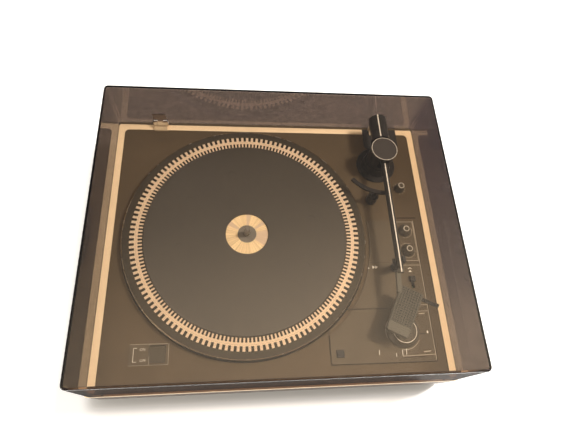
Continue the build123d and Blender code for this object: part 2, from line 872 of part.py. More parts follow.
# Flanged motor pulley with its shaft
with BuildPart() as motor_pulley:
    flange_radius = pulley_radius + pulley_flange
    pulley_bottom = belt_bottom - lie_gap - pulley_flange_height
    pulley_top = belt_top + lie_gap + pulley_flange_height
    with BuildSketch(upright(motor_x, motor_y)):
        with BuildLine():
            Polyline(
                (0, pulley_top), (flange_radius, pulley_top),
                (flange_radius, belt_top + lie_gap), (pulley_radius, belt_top + lie_gap),
                (pulley_radius, belt_bottom - lie_gap), (flange_radius, belt_bottom - lie_gap),
                (flange_radius, pulley_bottom),
                (motor_shaft_radius, pulley_bottom),
                (motor_shaft_radius, well_floor - motor_bore_depth + lie_gap),
                (0, well_floor - motor_bore_depth + lie_gap), close=True)
        make_face()
    revolve(axis=vertical(motor_x, motor_y))
keep(motor_pulley, "motor_pulley")


def belt_loop(grow):
    """Closed outline round the sub-platter and the pulley, at a distance grow from both."""
    big = subplatter_radius + grow
    small = pulley_radius + grow
    lean = degrees(asin((big - small) / motor_distance))
    turn = motor_angle
    start = turn + 90 - lean
    points = []
    for radius, cx, cy, angle in (
        (big, spindle_x, spindle_y, start), (big, spindle_x, spindle_y, turn + 180),
        (big, spindle_x, spindle_y, 2 * turn - start), (small, motor_x, motor_y, 2 * turn - start),
        (small, motor_x, motor_y, turn), (small, motor_x, motor_y, start),
    ):
        points.append((cx + radius * cos(radians(angle)), cy + radius * sin(radians(angle))))
    with BuildSketch(Plane.XY.offset(belt_bottom)) as outline:
        with BuildLine():
            ThreePointArc(points[0], points[1], points[2])
            Line(points[2], points[3])
            ThreePointArc(points[3], points[4], points[5])
            Line(points[5], points[0])
        make_face()
    return outline.sketch


with BuildPart() as drive_belt:
    extrude(belt_loop(belt_gap + belt_thickness), amount=belt_width)
    extrude(belt_loop(belt_gap), amount=belt_width, mode=Mode.SUBTRACT)
keep(drive_belt, "drive_belt")

# Supply transformer: laminated core with a bobbin through it
with BuildPart() as transformer:
    with BuildSketch(level(base_top, transformer_x, transformer_y)):
        Rectangle(transformer_width, transformer_length)
    extrude(amount=transformer_height)
    with BuildSketch(level(base_top + (transformer_height - coil_height) / 2,
                           transformer_x, transformer_y)):
        RectangleRounded(coil_width, coil_length, 4.0)
    extrude(amount=coil_height)
keep(transformer, "transformer")

# Motor speed board on the standoffs, with its capacitors and a cooling plate
board_z = base_top + standoff_height
with BuildPart() as circuit_board:
    with BuildSketch(level(board_z, board_x, board_y)):
        Rectangle(board_width, board_length)
    extrude(amount=board_thickness)
keep(circuit_board, "circuit_board")

with BuildPart() as board_parts:
    with BuildSketch(level(board_z + board_thickness, board_x, board_y)):
        with Locations((0, board_length / 2 - capacitor_setback)):
            with GridLocations(capacitor_pitch, 1, 3, 1):
                Circle(capacitor_radius)
        with Locations((heat_plate_inset - board_width / 2, 0)):
            Rectangle(heat_plate_thickness, heat_plate_length)
    extrude(amount=capacitor_height)
    with BuildSketch(level(board_z + board_thickness, board_x, board_y)):
        with Locations((board_width / 2 - chip_inset, 0)):
            with GridLocations(chip_pitch_x, chip_pitch_y, 2, 3):
                Rectangle(chip_width, chip_length)
    extrude(amount=chip_height)
keep(board_parts, "board_parts")

# Rubber glands in the rear wall, where the two leads leave
for gland_px, gland_name in zip(gland_xs, ("mains_gland", "audio_gland")):
    with BuildPart() as gland:
        wall_face = plinth_depth / 2
        with BuildSketch(upright(gland_px, wall_face)):
            with Locations((0, gland_z)):
                Circle(gland_body_radius)
        extrude(amount=gland_length - gland_flange)
        with BuildSketch(upright(gland_px, wall_face - shell_wall)):
            with Locations((0, gland_z)):
                Circle(gland_flange_radius)
        extrude(amount=gland_flange)
        with BuildSketch(upright(gland_px, wall_face)):
            with Locations((0, gland_z)):
                Circle(gland_bore)
        extrude(amount=gland_length - gland_flange, mode=Mode.SUBTRACT)
    keep(gland, gland_name)


def conical_knob(x, y, bottom, base_radius, top_radius, height, stem_radius, stem_bottom):
    """Knob with a low skirt, a conical body and a stem down through the deck."""
    with BuildPart() as knob:
        with BuildSketch(upright(x, y)):
            with BuildLine():
                Polyline(
                    (0, stem_bottom), (stem_radius, stem_bottom), (stem_radius, bottom),
                    (base_radius, bottom), (base_radius, bottom + knob_skirt_height),
                    (top_radius + 0.6, bottom + height - 0.6),
                    (top_radius, bottom + height), (0, bottom + height), close=True)
            make_face()
        revolve(axis=vertical(x, y))
    return knob


deck_under = deck_z - deck_thickness
pitch_field_z = panel_top - pitch_field_depth
for pitch_name, pitch_y in zip(("pitch_knob_rear", "pitch_knob_front"), pitch_ys):
    keep(conical_knob(pitch_x, pitch_y, pitch_field_z + lie_gap, pitch_base_radius,
                      pitch_top_radius, pitch_height, knob_stem_radius,
                      deck_under - pot_height + case_floor + 1.0), pitch_name)
keep(conical_knob(skate_x, skate_y, deck_z + lie_gap, skate_base_radius, skate_top_radius,
                  skate_height, knob_stem_radius, deck_under - pot_height + case_floor + 1.0),
     "antiskate_knob")
keep(conical_knob(dial_x, dial_y, panel_top + lie_gap, dial_base_radius, dial_top_radius,
                  dial_height, dial_stem_radius, deck_under - selector_height + case_floor + 1.0),
     "selector_dial")

# Potentiometer cases under the deck, with blind bores for the knob stems
with BuildPart() as control_pots:
    pot_places = [(pitch_x, pitch_ys[0]), (pitch_x, pitch_ys[1]), (skate_x, skate_y)]
    with BuildSketch(Plane.XY.offset(deck_under)):
        with Locations(*pot_places):
            Circle(pot_radius)
    extrude(amount=-pot_height)
    with BuildSketch(Plane.XY.offset(deck_under)):
        with Locations(*pot_places):
            Circle(knob_stem_radius + running_fit)
    extrude(amount=-(pot_height - case_floor), mode=Mode.SUBTRACT)
keep(control_pots, "control_pots")

# Lift lever: a square slide with a stem through the slot and a foot under the deck
with BuildPart() as lift_lever:
    with BuildSketch(level(panel_top + lie_gap, lever_x, lever_y)):
        RectangleRounded(lever_size, lever_size, 0.8)
    extrude(amount=lever_rise)
    fillet(lift_lever.edges().group_by(Axis.Z)[-1], 0.6)
    with BuildSketch(level(panel_top + lie_gap, lever_x, lever_y)):
        Rectangle(lever_stem_width, lever_stem_length)
    extrude(amount=-(panel_thickness + deck_thickness + 2 * lie_gap))
    with BuildSketch(level(deck_under - lie_gap, lever_x, lever_y)):
        Rectangle(lever_foot_width, lever_foot_length)
    extrude(amount=-lever_foot)
keep(lift_lever, "lift_lever")

# Start button
with BuildPart() as start_button:
    with BuildSketch(level(panel_top + start_rise, start_x, start_y)):
        Rectangle(start_width, start_length)
    extrude(amount=-start_cap)
    chamfer(start_button.edges().group_by(Axis.Z)[-1], 0.4)
    with BuildSketch(level(panel_top + start_rise - start_cap, start_x, start_y)):
        Circle(start_stem_radius)
    extrude(amount=-start_stem)
keep(start_button, "start_button")

# Rotary switch under the selector dial and push switch under the start button
with BuildPart() as panel_switches:
    with BuildSketch(level(deck_under, dial_x, dial_y)):
        Circle(selector_radius)
    extrude(amount=-selector_height)
    with BuildSketch(level(deck_under, dial_x, dial_y)):
        Circle(dial_stem_radius + running_fit)
    extrude(amount=-(selector_height - case_floor), mode=Mode.SUBTRACT)
    with BuildSketch(level(deck_under, start_x, start_y)):
        Rectangle(start_switch_size, start_switch_size)
    extrude(amount=-start_switch_height)
    with BuildSketch(level(deck_under, start_x, start_y)):
        Rectangle(start_width + 2 * lie_gap, start_length + 2 * lie_gap)
    extrude(amount=-(start_travel + 2 * lie_gap), mode=Mode.SUBTRACT)
    with BuildSketch(level(deck_under, start_x, start_y)):
        Circle(start_stem_radius + running_fit)
    extrude(amount=-(start_switch_height - case_floor / 2), mode=Mode.SUBTRACT)
keep(panel_switches, "panel_switches")

# Power switch: plate with a collar, rocker on two pins, and the switch case below
with BuildPart() as power_plate_part:
    with BuildSketch(level(deck_z, power_x, power_y)):
        RectangleRounded(power_plate_width, power_plate_length, 1.0)
    extrude(amount=power_plate)
    with BuildSketch(level(deck_z, power_button_x, power_y)):
        Rectangle(power_opening_width + 2 * power_collar_wall,
                  power_opening_length + 2 * power_collar_wall)
    extrude(amount=-power_collar_depth)
    with BuildSketch(level(deck_z + power_plate, power_button_x, power_y)):
        Rectangle(power_opening_width, power_opening_length)
    extrude(amount=-(power_plate + power_collar_depth), mode=Mode.SUBTRACT)
    pin_plane = Plane((power_button_x - power_opening_width / 2 - power_collar_wall, power_y,
                       power_pivot_z), x_dir=(0, 1, 0), z_dir=(1, 0, 0))
    with BuildSketch(pin_plane):
        Circle(power_pin_radius + running_fit)
    extrude(amount=power_opening_width + 2 * power_collar_wall, mode=Mode.SUBTRACT)
keep(power_plate_part, "power_plate")

with BuildPart() as power_rocker:
    rocker_plane = Plane(
        (power_button_x - power_button_width / 2, power_y, power_pivot_z),
        x_dir=(0, cos(radians(power_tilt)), sin(radians(power_tilt))), z_dir=(1, 0, 0))
    half_length = power_button_length / 2
    with BuildSketch(rocker_plane):
        with BuildLine():
            Polyline((-half_length, power_button_rise), (-half_length, -power_button_drop),
                     (half_length, -power_button_drop), (half_length, power_button_rise))
            ThreePointArc((half_length, power_button_rise), (0, power_button_rise - 0.6),
                          (-half_length, power_button_rise))
        make_face()
    extrude(amount=power_button_width)
    with BuildSketch(Plane((power_button_x - power_opening_width / 2 - 1.0, power_y,
                            power_pivot_z), x_dir=(0, 1, 0), z_dir=(1, 0, 0))):
        Circle(power_pin_radius)
    extrude(amount=power_opening_width + 2.0)
keep(power_rocker, "power_rocker")

with BuildPart() as power_switch:
    with BuildSketch(level(deck_z - power_collar_depth, power_button_x, power_y)):
        Rectangle(power_opening_width + 2 * power_collar_wall,
                  power_opening_length + 2 * power_collar_wall)
    extrude(amount=-power_switch_height)
keep(power_switch, "power_switch")

# Tonearm base with a threaded sleeve through the deck, and its nut
with BuildPart() as arm_base:
    with BuildSketch(upright(pivot_x, pivot_y)):
        bore = arm_shaft_radius + running_fit
        with BuildLine():
            Polyline(
                (bore, deck_z - arm_sleeve_depth), (arm_sleeve_radius, deck_z - arm_sleeve_depth),
                (arm_sleeve_radius, deck_z), (arm_base_radius, deck_z),
                (arm_base_radius, deck_z + arm_base_flange - 1.0),
                (arm_base_radius - 1.0, deck_z + arm_base_flange),
                (arm_column_radius, deck_z + arm_base_flange),
                (arm_column_top_radius, deck_z + arm_column_height),
                (bore, deck_z + arm_column_height), close=True)
        make_face()
    revolve(axis=vertical(pivot_x, pivot_y))
keep(arm_base, "arm_base")

with BuildPart() as arm_nut:
    with BuildSketch(level(deck_under, pivot_x, pivot_y)):
        RegularPolygon(arm_nut_size / 2, 6)
        Circle(arm_sleeve_radius + running_fit, mode=Mode.SUBTRACT)
    extrude(amount=-arm_nut_height)
keep(arm_nut, "arm_nut")

# Bearing yoke: a drum with a slot for the arm, cross pins and the vertical shaft
yoke_bottom = deck_z + arm_column_height + lie_gap
with BuildPart() as arm_yoke:
    with BuildSketch(level(yoke_bottom, pivot_x, pivot_y)):
        Circle(yoke_radius)
    extrude(amount=deck_z + yoke_top - yoke_bottom)
    with BuildSketch(level(deck_z + yoke_floor, pivot_x, pivot_y)):
        Rectangle(yoke_slot, 2 * yoke_radius + 2)
    extrude(amount=yoke_top - yoke_floor, mode=Mode.SUBTRACT)
    with BuildSketch(level(yoke_bottom, pivot_x, pivot_y)):
        Circle(arm_shaft_radius)
    extrude(amount=-(yoke_bottom - deck_z + arm_shaft_drop))
    with BuildSketch(Plane((pivot_x - yoke_radius - 1, pivot_y, arm_z),
                           x_dir=(0, 1, 0), z_dir=(1, 0, 0))):
        Circle(gimbal_pin_radius + running_fit)
    extrude(amount=2 * yoke_radius + 2, mode=Mode.SUBTRACT)
keep(arm_yoke, "arm_yoke")

with BuildPart() as gimbal_pins:
    for side in (-1, 1):
        with BuildSketch(Plane((pivot_x + side * (yoke_slot / 2 - gimbal_pin_overlap), pivot_y, arm_z),
                               x_dir=(0, 1, 0), z_dir=(side, 0, 0))):
            Circle(gimbal_pin_radius)
        extrude(amount=gimbal_pin_length)
keep(gimbal_pins, "gimbal_pins")

with BuildPart() as pivot_cap:
    with BuildSketch(level(deck_z + yoke_top, pivot_x, pivot_y)):
        Circle(cap_radius)
    extrude(amount=cap_height)
    chamfer(pivot_cap.edges().filter_by(GeomType.CIRCLE).group_by(Axis.Z)[-1], cap_edge)
keep(pivot_cap, "pivot_cap")


# Arm tube with the trunnion block and the rear stub that carries the counterweight
def across_arm(y):
    """Plane across the arm axis at distance y behind the pivot, facing the front."""
    return Plane((pivot_x, pivot_y + y, arm_z), x_dir=(1, 0, 0), z_dir=(0, -1, 0))


with BuildPart() as arm_tube:
    with BuildSketch(level(arm_z - trunnion_height / 2, pivot_x, pivot_y)):
        Rectangle(trunnion_width, trunnion_length)
    extrude(amount=trunnion_height)
    chamfer(arm_tube.edges().filter_by(Axis.Y), 1.0)
    with BuildSketch(across_arm(weight_rear - 3.0)):
        Circle(tube_radius)
    extrude(amount=weight_rear - 3.0 + pivot_y - tube_end_y)
    with BuildSketch(across_arm(tube_end_y - pivot_y)):
        Circle(tube_bore)
    extrude(amount=-(pivot_y - tube_end_y - trunnion_length), mode=Mode.SUBTRACT)
    with BuildSketch(Plane((pivot_x - trunnion_width, pivot_y, arm_z),
                           x_dir=(0, 1, 0), z_dir=(1, 0, 0))):
        Circle(gimbal_pin_radius + running_fit)
    extrude(amount=2 * trunnion_width, mode=Mode.SUBTRACT)
keep(arm_tube, "arm_tube")

# Headshell: tapered tray with a waffle top, turned by the offset angle
head_levels = Plane((head_x, head_y, 0), x_dir=(1, 0, 0), z_dir=(0, 0, 1)).rotated(
    (0, 0, head_turn))


def on_head(z):
    """Horizontal plane at height z, turned with the headshell."""
    return head_levels.offset(z)


def head_outline(z, inset):
    """Tapered outline of the headshell, drawn in by inset."""
    front = -head_length / 2 + inset
    rear = head_length / 2 - inset
    with BuildSketch(on_head(z)) as outline:
        with BuildLine():
            Polyline((-head_front_width / 2 + inset, front), (head_front_width / 2 - inset, front),
                     (head_rear_width / 2 - inset, rear), (-head_rear_width / 2 + inset, rear),
                     close=True)
        make_face()
        fillet(outline.vertices(), 2.5 - inset / 2)
    return outline.sketch


head_z = deck_z + head_top
with BuildPart() as headshell:
    extrude(head_outline(head_z, 0.0), amount=-head_skirt)
    extrude(head_outline(head_z - head_plate, head_wall),
            amount=-(head_skirt - head_plate), mode=Mode.SUBTRACT)
    with BuildSketch(on_head(head_z - head_plate)):
        with Locations((head_rear_width / 2, finger_y)):
            Rectangle(head_rear_width / 2, finger_width + 2 * seat_gap)
    extrude(amount=-(finger_thickness + seat_gap), mode=Mode.SUBTRACT)
keep(headshell, "headshell")

# Neck that joins the round tube to the flat headshell
with BuildPart() as arm_neck:
    head_rear = head_length / 2
    rear_plane = Plane(
        on_head(head_z - (head_skirt - neck_drop) / 2).from_local_coords((0, head_rear, 0)),
        x_dir=(cos(radians(head_turn)), sin(radians(head_turn)), 0),
        z_dir=(sin(radians(head_turn)), -cos(radians(head_turn)), 0))
    with BuildSketch(across_arm(tube_end_y - pivot_y)):
        Circle(neck_collar_radius)
    with BuildSketch(rear_plane):
        RectangleRounded(neck_width, neck_height, neck_corner)
    loft()
keep(arm_neck, "arm_neck")

# Finger lift: a thin strip that turns up at its tip
with BuildPart() as finger_lift:
    finger_start = head_rear_width / 2 - finger_root
    finger_end = head_rear_width / 2 + finger_reach
    finger_low = head_z - head_plate - finger_thickness
    with BuildSketch(Plane(
            on_head(0).from_local_coords((0, finger_y - finger_width / 2, 0)),
            x_dir=(cos(radians(head_turn)), sin(radians(head_turn)), 0),
            z_dir=(sin(radians(head_turn)), -cos(radians(head_turn)), 0))):
        with BuildLine():
            Polyline((finger_start, finger_low), (finger_end - finger_tip, finger_low),
                     (finger_end, finger_low + finger_rise),
                     (finger_end, finger_low + finger_rise + finger_thickness),
                     (finger_end - finger_tip, finger_low + finger_thickness),
                     (finger_start, finger_low + finger_thickness), close=True)
        make_face()
    extrude(amount=-finger_width)
keep(finger_lift, "finger_lift")

# Cartridge under the headshell and the stylus holder with its tip
cartridge_top = head_z - head_plate
with BuildPart() as cartridge:
    with BuildSketch(on_head(cartridge_top)):
        with Locations((0, cartridge_y)):
            Rectangle(cartridge_width, cartridge_length)
    extrude(amount=-cartridge_height)
    chamfer(cartridge.edges().group_by(Axis.Z)[0], 1.0)
keep(cartridge, "cartridge")

with BuildPart() as stylus:
    holder_top = cartridge_top - cartridge_height
    with BuildSketch(on_head(holder_top)):
        with Locations((0, stylus_y + 3.0)):
            Rectangle(6.0, 9.0)
    extrude(amount=-stylus_holder_height)
    tip_top = holder_top - stylus_holder_height
    tip_height = tip_top - (head_z - stylus_drop)
    tip_point = on_head(tip_top).from_local_coords((0, stylus_y, 0))
    with Locations(tip_point):
        Cone(0.2, 0.5, tip_height, align=(Align.CENTER, Align.CENTER, Align.MAX))
keep(stylus, "stylus")

# Counterweight and its force dial
with BuildPart() as counterweight:
    with BuildSketch(across_arm(weight_rear)):
        Circle(weight_radius)
    extrude(amount=weight_rear - weight_front - force_dial_length)
    chamfer(counterweight.edges().filter_by(GeomType.CIRCLE).group_by(Axis.Y)[-1], 1.0)
    with BuildSketch(across_arm(weight_rear - 2.5)):
        Circle(tube_radius + running_fit)
    extrude(amount=weight_rear, mode=Mode.SUBTRACT)
keep(counterweight, "counterweight")

with BuildPart() as force_dial:
    with BuildSketch(across_arm(weight_front + force_dial_length)):
        Circle(force_dial_radius)
        Circle(tube_radius + running_fit, mode=Mode.SUBTRACT)
    extrude(amount=force_dial_length)
keep(force_dial, "force_dial")

# Arm rest: a post beside the tube with a ledge below it, open towards the platter
rest_side = pivot_x + tube_radius + lie_gap
rest_droop = (pivot_y - rest_y) * sin(radians(arm_down_angle))
rest_ledge_top = arm_z - tube_radius - rest_droop - lie_gap
with BuildPart() as arm_rest:
    with BuildSketch(level(panel_top, rest_side + rest_post_width / 2, rest_y)):
        Circle(rest_foot_radius)
    extrude(amount=1.5)
    with BuildSketch(upright(rest_side, rest_y)):
        with BuildLine():
            Polyline((0, panel_top), (rest_post_width, panel_top),
                     (rest_post_width, arm_z + tube_radius - 0.5),
                     (0, arm_z + tube_radius - 0.5), (0, rest_ledge_top),
                     (-rest_ledge, rest_ledge_top), (-rest_ledge, rest_ledge_top - 1.5),
                     (0, rest_ledge_top - 4.5), close=True)
        make_face()
    extrude(amount=rest_post_length / 2, both=True)
keep(arm_rest, "arm_rest")

# Cueing lift: fixed sleeve and a bar that follows the arc of the arm's swing
with BuildPart() as lift_sleeve:
    with BuildSketch(level(deck_z, lift_post_x, lift_post_y)):
        Circle(lift_housing_radius)
    extrude(amount=lift_housing_height)
    with BuildSketch(level(deck_z, lift_post_x, lift_post_y)):
        Circle(lift_housing_radius - 2.0)
    extrude(amount=-(deck_thickness + 9.0))
    with BuildSketch(level(deck_z + lift_housing_height, lift_post_x, lift_post_y)):
        Circle(lift_post_radius + running_fit)
    extrude(amount=-(lift_housing_height + deck_thickness + 9.0), mode=Mode.SUBTRACT)
keep(lift_sleeve, "lift_sleeve")


def swing_point(angle, radius):
    """Point on a circle round the pivot, angle degrees from the arm's rest towards the platter."""
    return (pivot_x - radius * sin(radians(angle)), pivot_y - radius * cos(radians(angle)))


with BuildPart() as lift_bar:
    bar_inner = lift_radius - lift_bar_width / 2
    bar_outer = lift_radius + lift_bar_width / 2
    middle_angle = (lift_start_angle + lift_end_angle) / 2
    with BuildSketch(Plane.XY.offset(lift_bar_top)):
        with BuildLine():
            ThreePointArc(swing_point(lift_start_angle, bar_inner),
                          swing_point(middle_angle, bar_inner),
                          swing_point(lift_end_angle, bar_inner))
            Line(swing_point(lift_end_angle, bar_inner), swing_point(lift_end_angle, bar_outer))
            ThreePointArc(swing_point(lift_end_angle, bar_outer),
                          swing_point(middle_angle, bar_outer),
                          swing_point(lift_start_angle, bar_outer))
            Line(swing_point(lift_start_angle, bar_outer),
                 swing_point(lift_start_angle, bar_inner))
        make_face()
    extrude(amount=-lift_bar_height)
    with BuildSketch(level(lift_bar_top - lift_bar_height, lift_post_x, lift_post_y)):
        Circle(lift_post_radius)
    extrude(amount=-(lift_bar_top - lift_bar_height - deck_z + deck_thickness + 6.0))
keep(lift_bar, "lift_bar")


# Hinge bases on the deck, with pins, and the brackets that carry the lid
def hinge_plane(x):
    """Vertical plane across a hinge at x: local X is Y and local Y is Z, facing right."""
    return Plane((x, 0, 0), x_dir=(0, 1, 0), z_dir=(1, 0, 0))


plate_outer = lid_rear - hinge_plate_height * sin(radians(lid_taper)) - seat_gap
plate_low = hinge_z + hinge_ear_radius + hinge_notch_gap
plate_high = deck_z + hinge_plate_height
for side, side_name in ((-1, "left"), (1, "right")):
    hinge_x = side * hinge_offset
    with BuildPart() as hinge_base:
        with BuildSketch(hinge_plane(hinge_x - hinge_ear_outer)):
            with BuildLine():
                Polyline((hinge_y, trim_top), (hinge_y, hinge_z),
                         (hinge_y - hinge_foot_depth, trim_top + hinge_foot_height),
                         (hinge_y - hinge_foot_depth, trim_top), close=True)
            make_face()
            with Locations((hinge_y, hinge_z)):
                Circle(hinge_ear_radius)
            with Locations((hinge_y, (trim_top + hinge_z) / 2)):
                Rectangle(2 * hinge_ear_radius, hinge_z - trim_top)
        extrude(amount=2 * hinge_ear_outer)
        with BuildSketch(hinge_plane(hinge_x - hinge_ear_inner)):
            with Locations((hinge_y, hinge_z)):
                Circle(hinge_knuckle_radius + 2 * lie_gap)
            with Locations((hinge_y + hinge_ear_radius, hinge_z)):
                Rectangle(2 * hinge_ear_radius, 2 * hinge_rise)
        extrude(amount=2 * hinge_ear_inner, mode=Mode.SUBTRACT)
        with BuildSketch(hinge_plane(hinge_x - hinge_ear_outer)):
            with Locations((hinge_y, hinge_z)):
                Circle(hinge_pin_radius)
        extrude(amount=2 * hinge_ear_outer)
    keep(hinge_base, f"hinge_base_{side_name}")
    with BuildPart() as hinge_bracket:
        with BuildSketch(hinge_plane(hinge_x - hinge_knuckle_half)):
            with Locations((hinge_y, hinge_z)):
                Circle(hinge_knuckle_radius)
            with BuildLine():
                Polyline((hinge_y, hinge_z + hinge_knuckle_radius),
                         (plate_outer - hinge_plate_thickness, plate_low + 1.0),
                         (plate_outer, plate_low + 1.0), (plate_outer, hinge_z),
                         (hinge_y, hinge_z), close=True)
            make_face()
            with Locations((hinge_y, hinge_z)):
                Circle(hinge_pin_radius + running_fit, mode=Mode.SUBTRACT)
        extrude(amount=2 * hinge_knuckle_half)
        with BuildSketch(hinge_plane(hinge_x - hinge_plate_half)):
            with Locations((plate_outer - hinge_plate_thickness / 2, (plate_low + plate_high) / 2)):
                Rectangle(hinge_plate_thickness, plate_high - plate_low)
        extrude(amount=2 * hinge_plate_half)
    keep(hinge_bracket, f"hinge_bracket_{side_name}")

# Dust cover: a drafted acrylic box, open below, with notches for the hinges
with BuildPart() as lid:
    with BuildSketch(level(lid_bottom, 0, lid_centre_y)):
        RectangleRounded(lid_width, lid_depth, lid_corner)
    extrude(amount=lid_height, taper=lid_taper)
    fillet(lid.edges().group_by(Axis.Z)[-1], lid_edge)
    with BuildSketch(level(lid_bottom, 0, lid_centre_y)):
        RectangleRounded(lid_width - 2 * lid_wall, lid_depth - 2 * lid_wall,
                         lid_corner - lid_wall)
    extrude(amount=lid_height - lid_top_thickness, taper=lid_taper, mode=Mode.SUBTRACT)
    with BuildSketch(level(lid_bottom, 0, hinge_y + plinth_depth / 4)):
        Rectangle(lid_width + 2, plinth_depth / 2)
    extrude(amount=hinge_z - lid_rear_gap - lid_bottom, mode=Mode.SUBTRACT)
    for notch_half, notch_top in ((hinge_ear_outer + hinge_notch_gap, plate_low),
                                  (hinge_plate_half, plate_high)):
        with BuildSketch(level(lid_bottom, 0, lid_rear)):
            with GridLocations(2 * hinge_offset, 1, 2, 1):
                Rectangle(2 * notch_half, 4 * lid_wall)
        extrude(amount=notch_top - lid_bottom, mode=Mode.SUBTRACT)
keep(lid, "lid")

# Small rubber buffers that the lid rests on at the front corners
with BuildPart() as lid_buffers:
    with BuildSketch(level(deck_z, 0, lid_front + lid_wall - buffer_radius)):
        with GridLocations(plinth_width - 2 * buffer_from_side, 1, 2, 1):
            Circle(buffer_radius)
    extrude(amount=lid_gap - 2 * running_fit)
keep(lid_buffers, "lid_buffers")
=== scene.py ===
"""Looks of a belt-drive record player with a smoked dust cover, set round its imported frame."""

from __future__ import annotations

import logging
import math
from dataclasses import dataclass
from enum import Enum
from functools import cache

import bmesh
import bpy
from mathutils import Matrix, Vector


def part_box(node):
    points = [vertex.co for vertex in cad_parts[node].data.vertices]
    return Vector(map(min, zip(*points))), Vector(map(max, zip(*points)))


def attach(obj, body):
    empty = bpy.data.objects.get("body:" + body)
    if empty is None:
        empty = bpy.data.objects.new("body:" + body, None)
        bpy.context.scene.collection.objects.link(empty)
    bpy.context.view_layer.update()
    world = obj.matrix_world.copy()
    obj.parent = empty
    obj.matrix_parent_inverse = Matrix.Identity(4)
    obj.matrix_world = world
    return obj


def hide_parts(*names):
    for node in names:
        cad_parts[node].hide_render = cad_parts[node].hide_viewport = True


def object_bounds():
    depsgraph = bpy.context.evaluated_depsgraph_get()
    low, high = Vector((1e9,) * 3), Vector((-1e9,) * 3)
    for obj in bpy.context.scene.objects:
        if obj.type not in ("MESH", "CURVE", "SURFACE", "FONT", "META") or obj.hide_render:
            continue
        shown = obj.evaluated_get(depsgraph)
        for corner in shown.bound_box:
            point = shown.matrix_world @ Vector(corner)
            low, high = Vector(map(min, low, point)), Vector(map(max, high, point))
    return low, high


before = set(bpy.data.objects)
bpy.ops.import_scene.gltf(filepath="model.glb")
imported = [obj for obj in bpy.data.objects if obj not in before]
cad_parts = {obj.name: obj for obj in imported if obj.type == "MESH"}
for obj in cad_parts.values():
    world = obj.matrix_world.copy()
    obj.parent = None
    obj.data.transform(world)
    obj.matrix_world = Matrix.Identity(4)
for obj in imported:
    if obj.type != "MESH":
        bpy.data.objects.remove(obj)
cad_box = [list(corner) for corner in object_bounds()]

log = logging.getLogger("record_player")
MM = 0.001
SMOOTH = 30.0  # degrees below which an edge is shaded smooth
BROAD_SIZE = 38.0  # millimetres across the broad patches of a finish
SMEAR_SIZE = 11.0  # millimetres across its duller and shinier patches
X_AXIS, Y_AXIS, Z_AXIS = range(3)
Socket = bpy.types.NodeSocket
Triple = tuple[float, float, float]
Colour = Triple
Point = tuple[float, float]


def node_span(node: str) -> tuple[Vector, Vector]:
    """Lowest and highest corner of a frame node, in millimetres."""
    low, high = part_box(node)
    return low / MM, high / MM


def node_centre(node: str) -> Vector:
    """Middle of a frame node's box, in millimetres."""
    low, high = node_span(node)
    return (low + high) / 2


def on_circle(centre: Point, radius: float, angle: float) -> Point:
    """Point of a circle at an angle in radians."""
    return centre[0] + radius * math.cos(angle), centre[1] + radius * math.sin(angle)


def band(centre: Point, radii: Point, start: float, end: float, steps: int) -> list[Point]:
    """Outline of an arc-shaped band between two radii and two angles in degrees."""
    angles = [math.radians(start + (end - start) * k / steps) for k in range(steps + 1)]
    return [on_circle(centre, radius, angle) for radius, way in (
        (max(radii), angles), (min(radii), reversed(angles))) for angle in way]


def added(name: str, data: bpy.types.ID) -> bpy.types.Object:
    """New object of the scene that carries the data."""
    made = bpy.data.objects.new(name, data)
    bpy.context.scene.collection.objects.link(made)
    return made


class Tree:
    """A node tree, with short calls that add and join its nodes."""

    tree: bpy.types.NodeTree

    def node(self, kind: str, inputs: dict | None = None, **settings) -> bpy.types.Node:
        """Add a node.

        Args:
            kind: Blender's name of the node's type.
            inputs: Values or sockets by input name or number.
            **settings: Properties of the node itself.

        Returns:
            The new node.
        """
        made = self.tree.nodes.new(kind)
        for key, value in settings.items():
            setattr(made, key, value)
        for key, value in (inputs or {}).items():
            self.feed(made.inputs[key], value)
        return made

    def feed(self, socket: Socket, value: object) -> None:
        """Join a socket to another, or give it a plain value."""
        if isinstance(value, Socket):
            self.tree.links.new(value, socket)
        elif socket.type == "RGBA" and len(value) == 3:
            socket.default_value = (*value, 1.0)
        else:
            socket.default_value = value

    def math(self, operation: str, *values: object) -> Socket:
        """Result of a Math node on one to three values or sockets."""
        return self.node("ShaderNodeMath", dict(enumerate(values)), operation=operation).outputs[0]

    def point(self, x: object = 0.0, y: object = 0.0, z: object = 0.0) -> Socket:
        """Vector made of three values or sockets."""
        return self.node("ShaderNodeCombineXYZ", {0: x, 1: y, 2: z}).outputs[0]


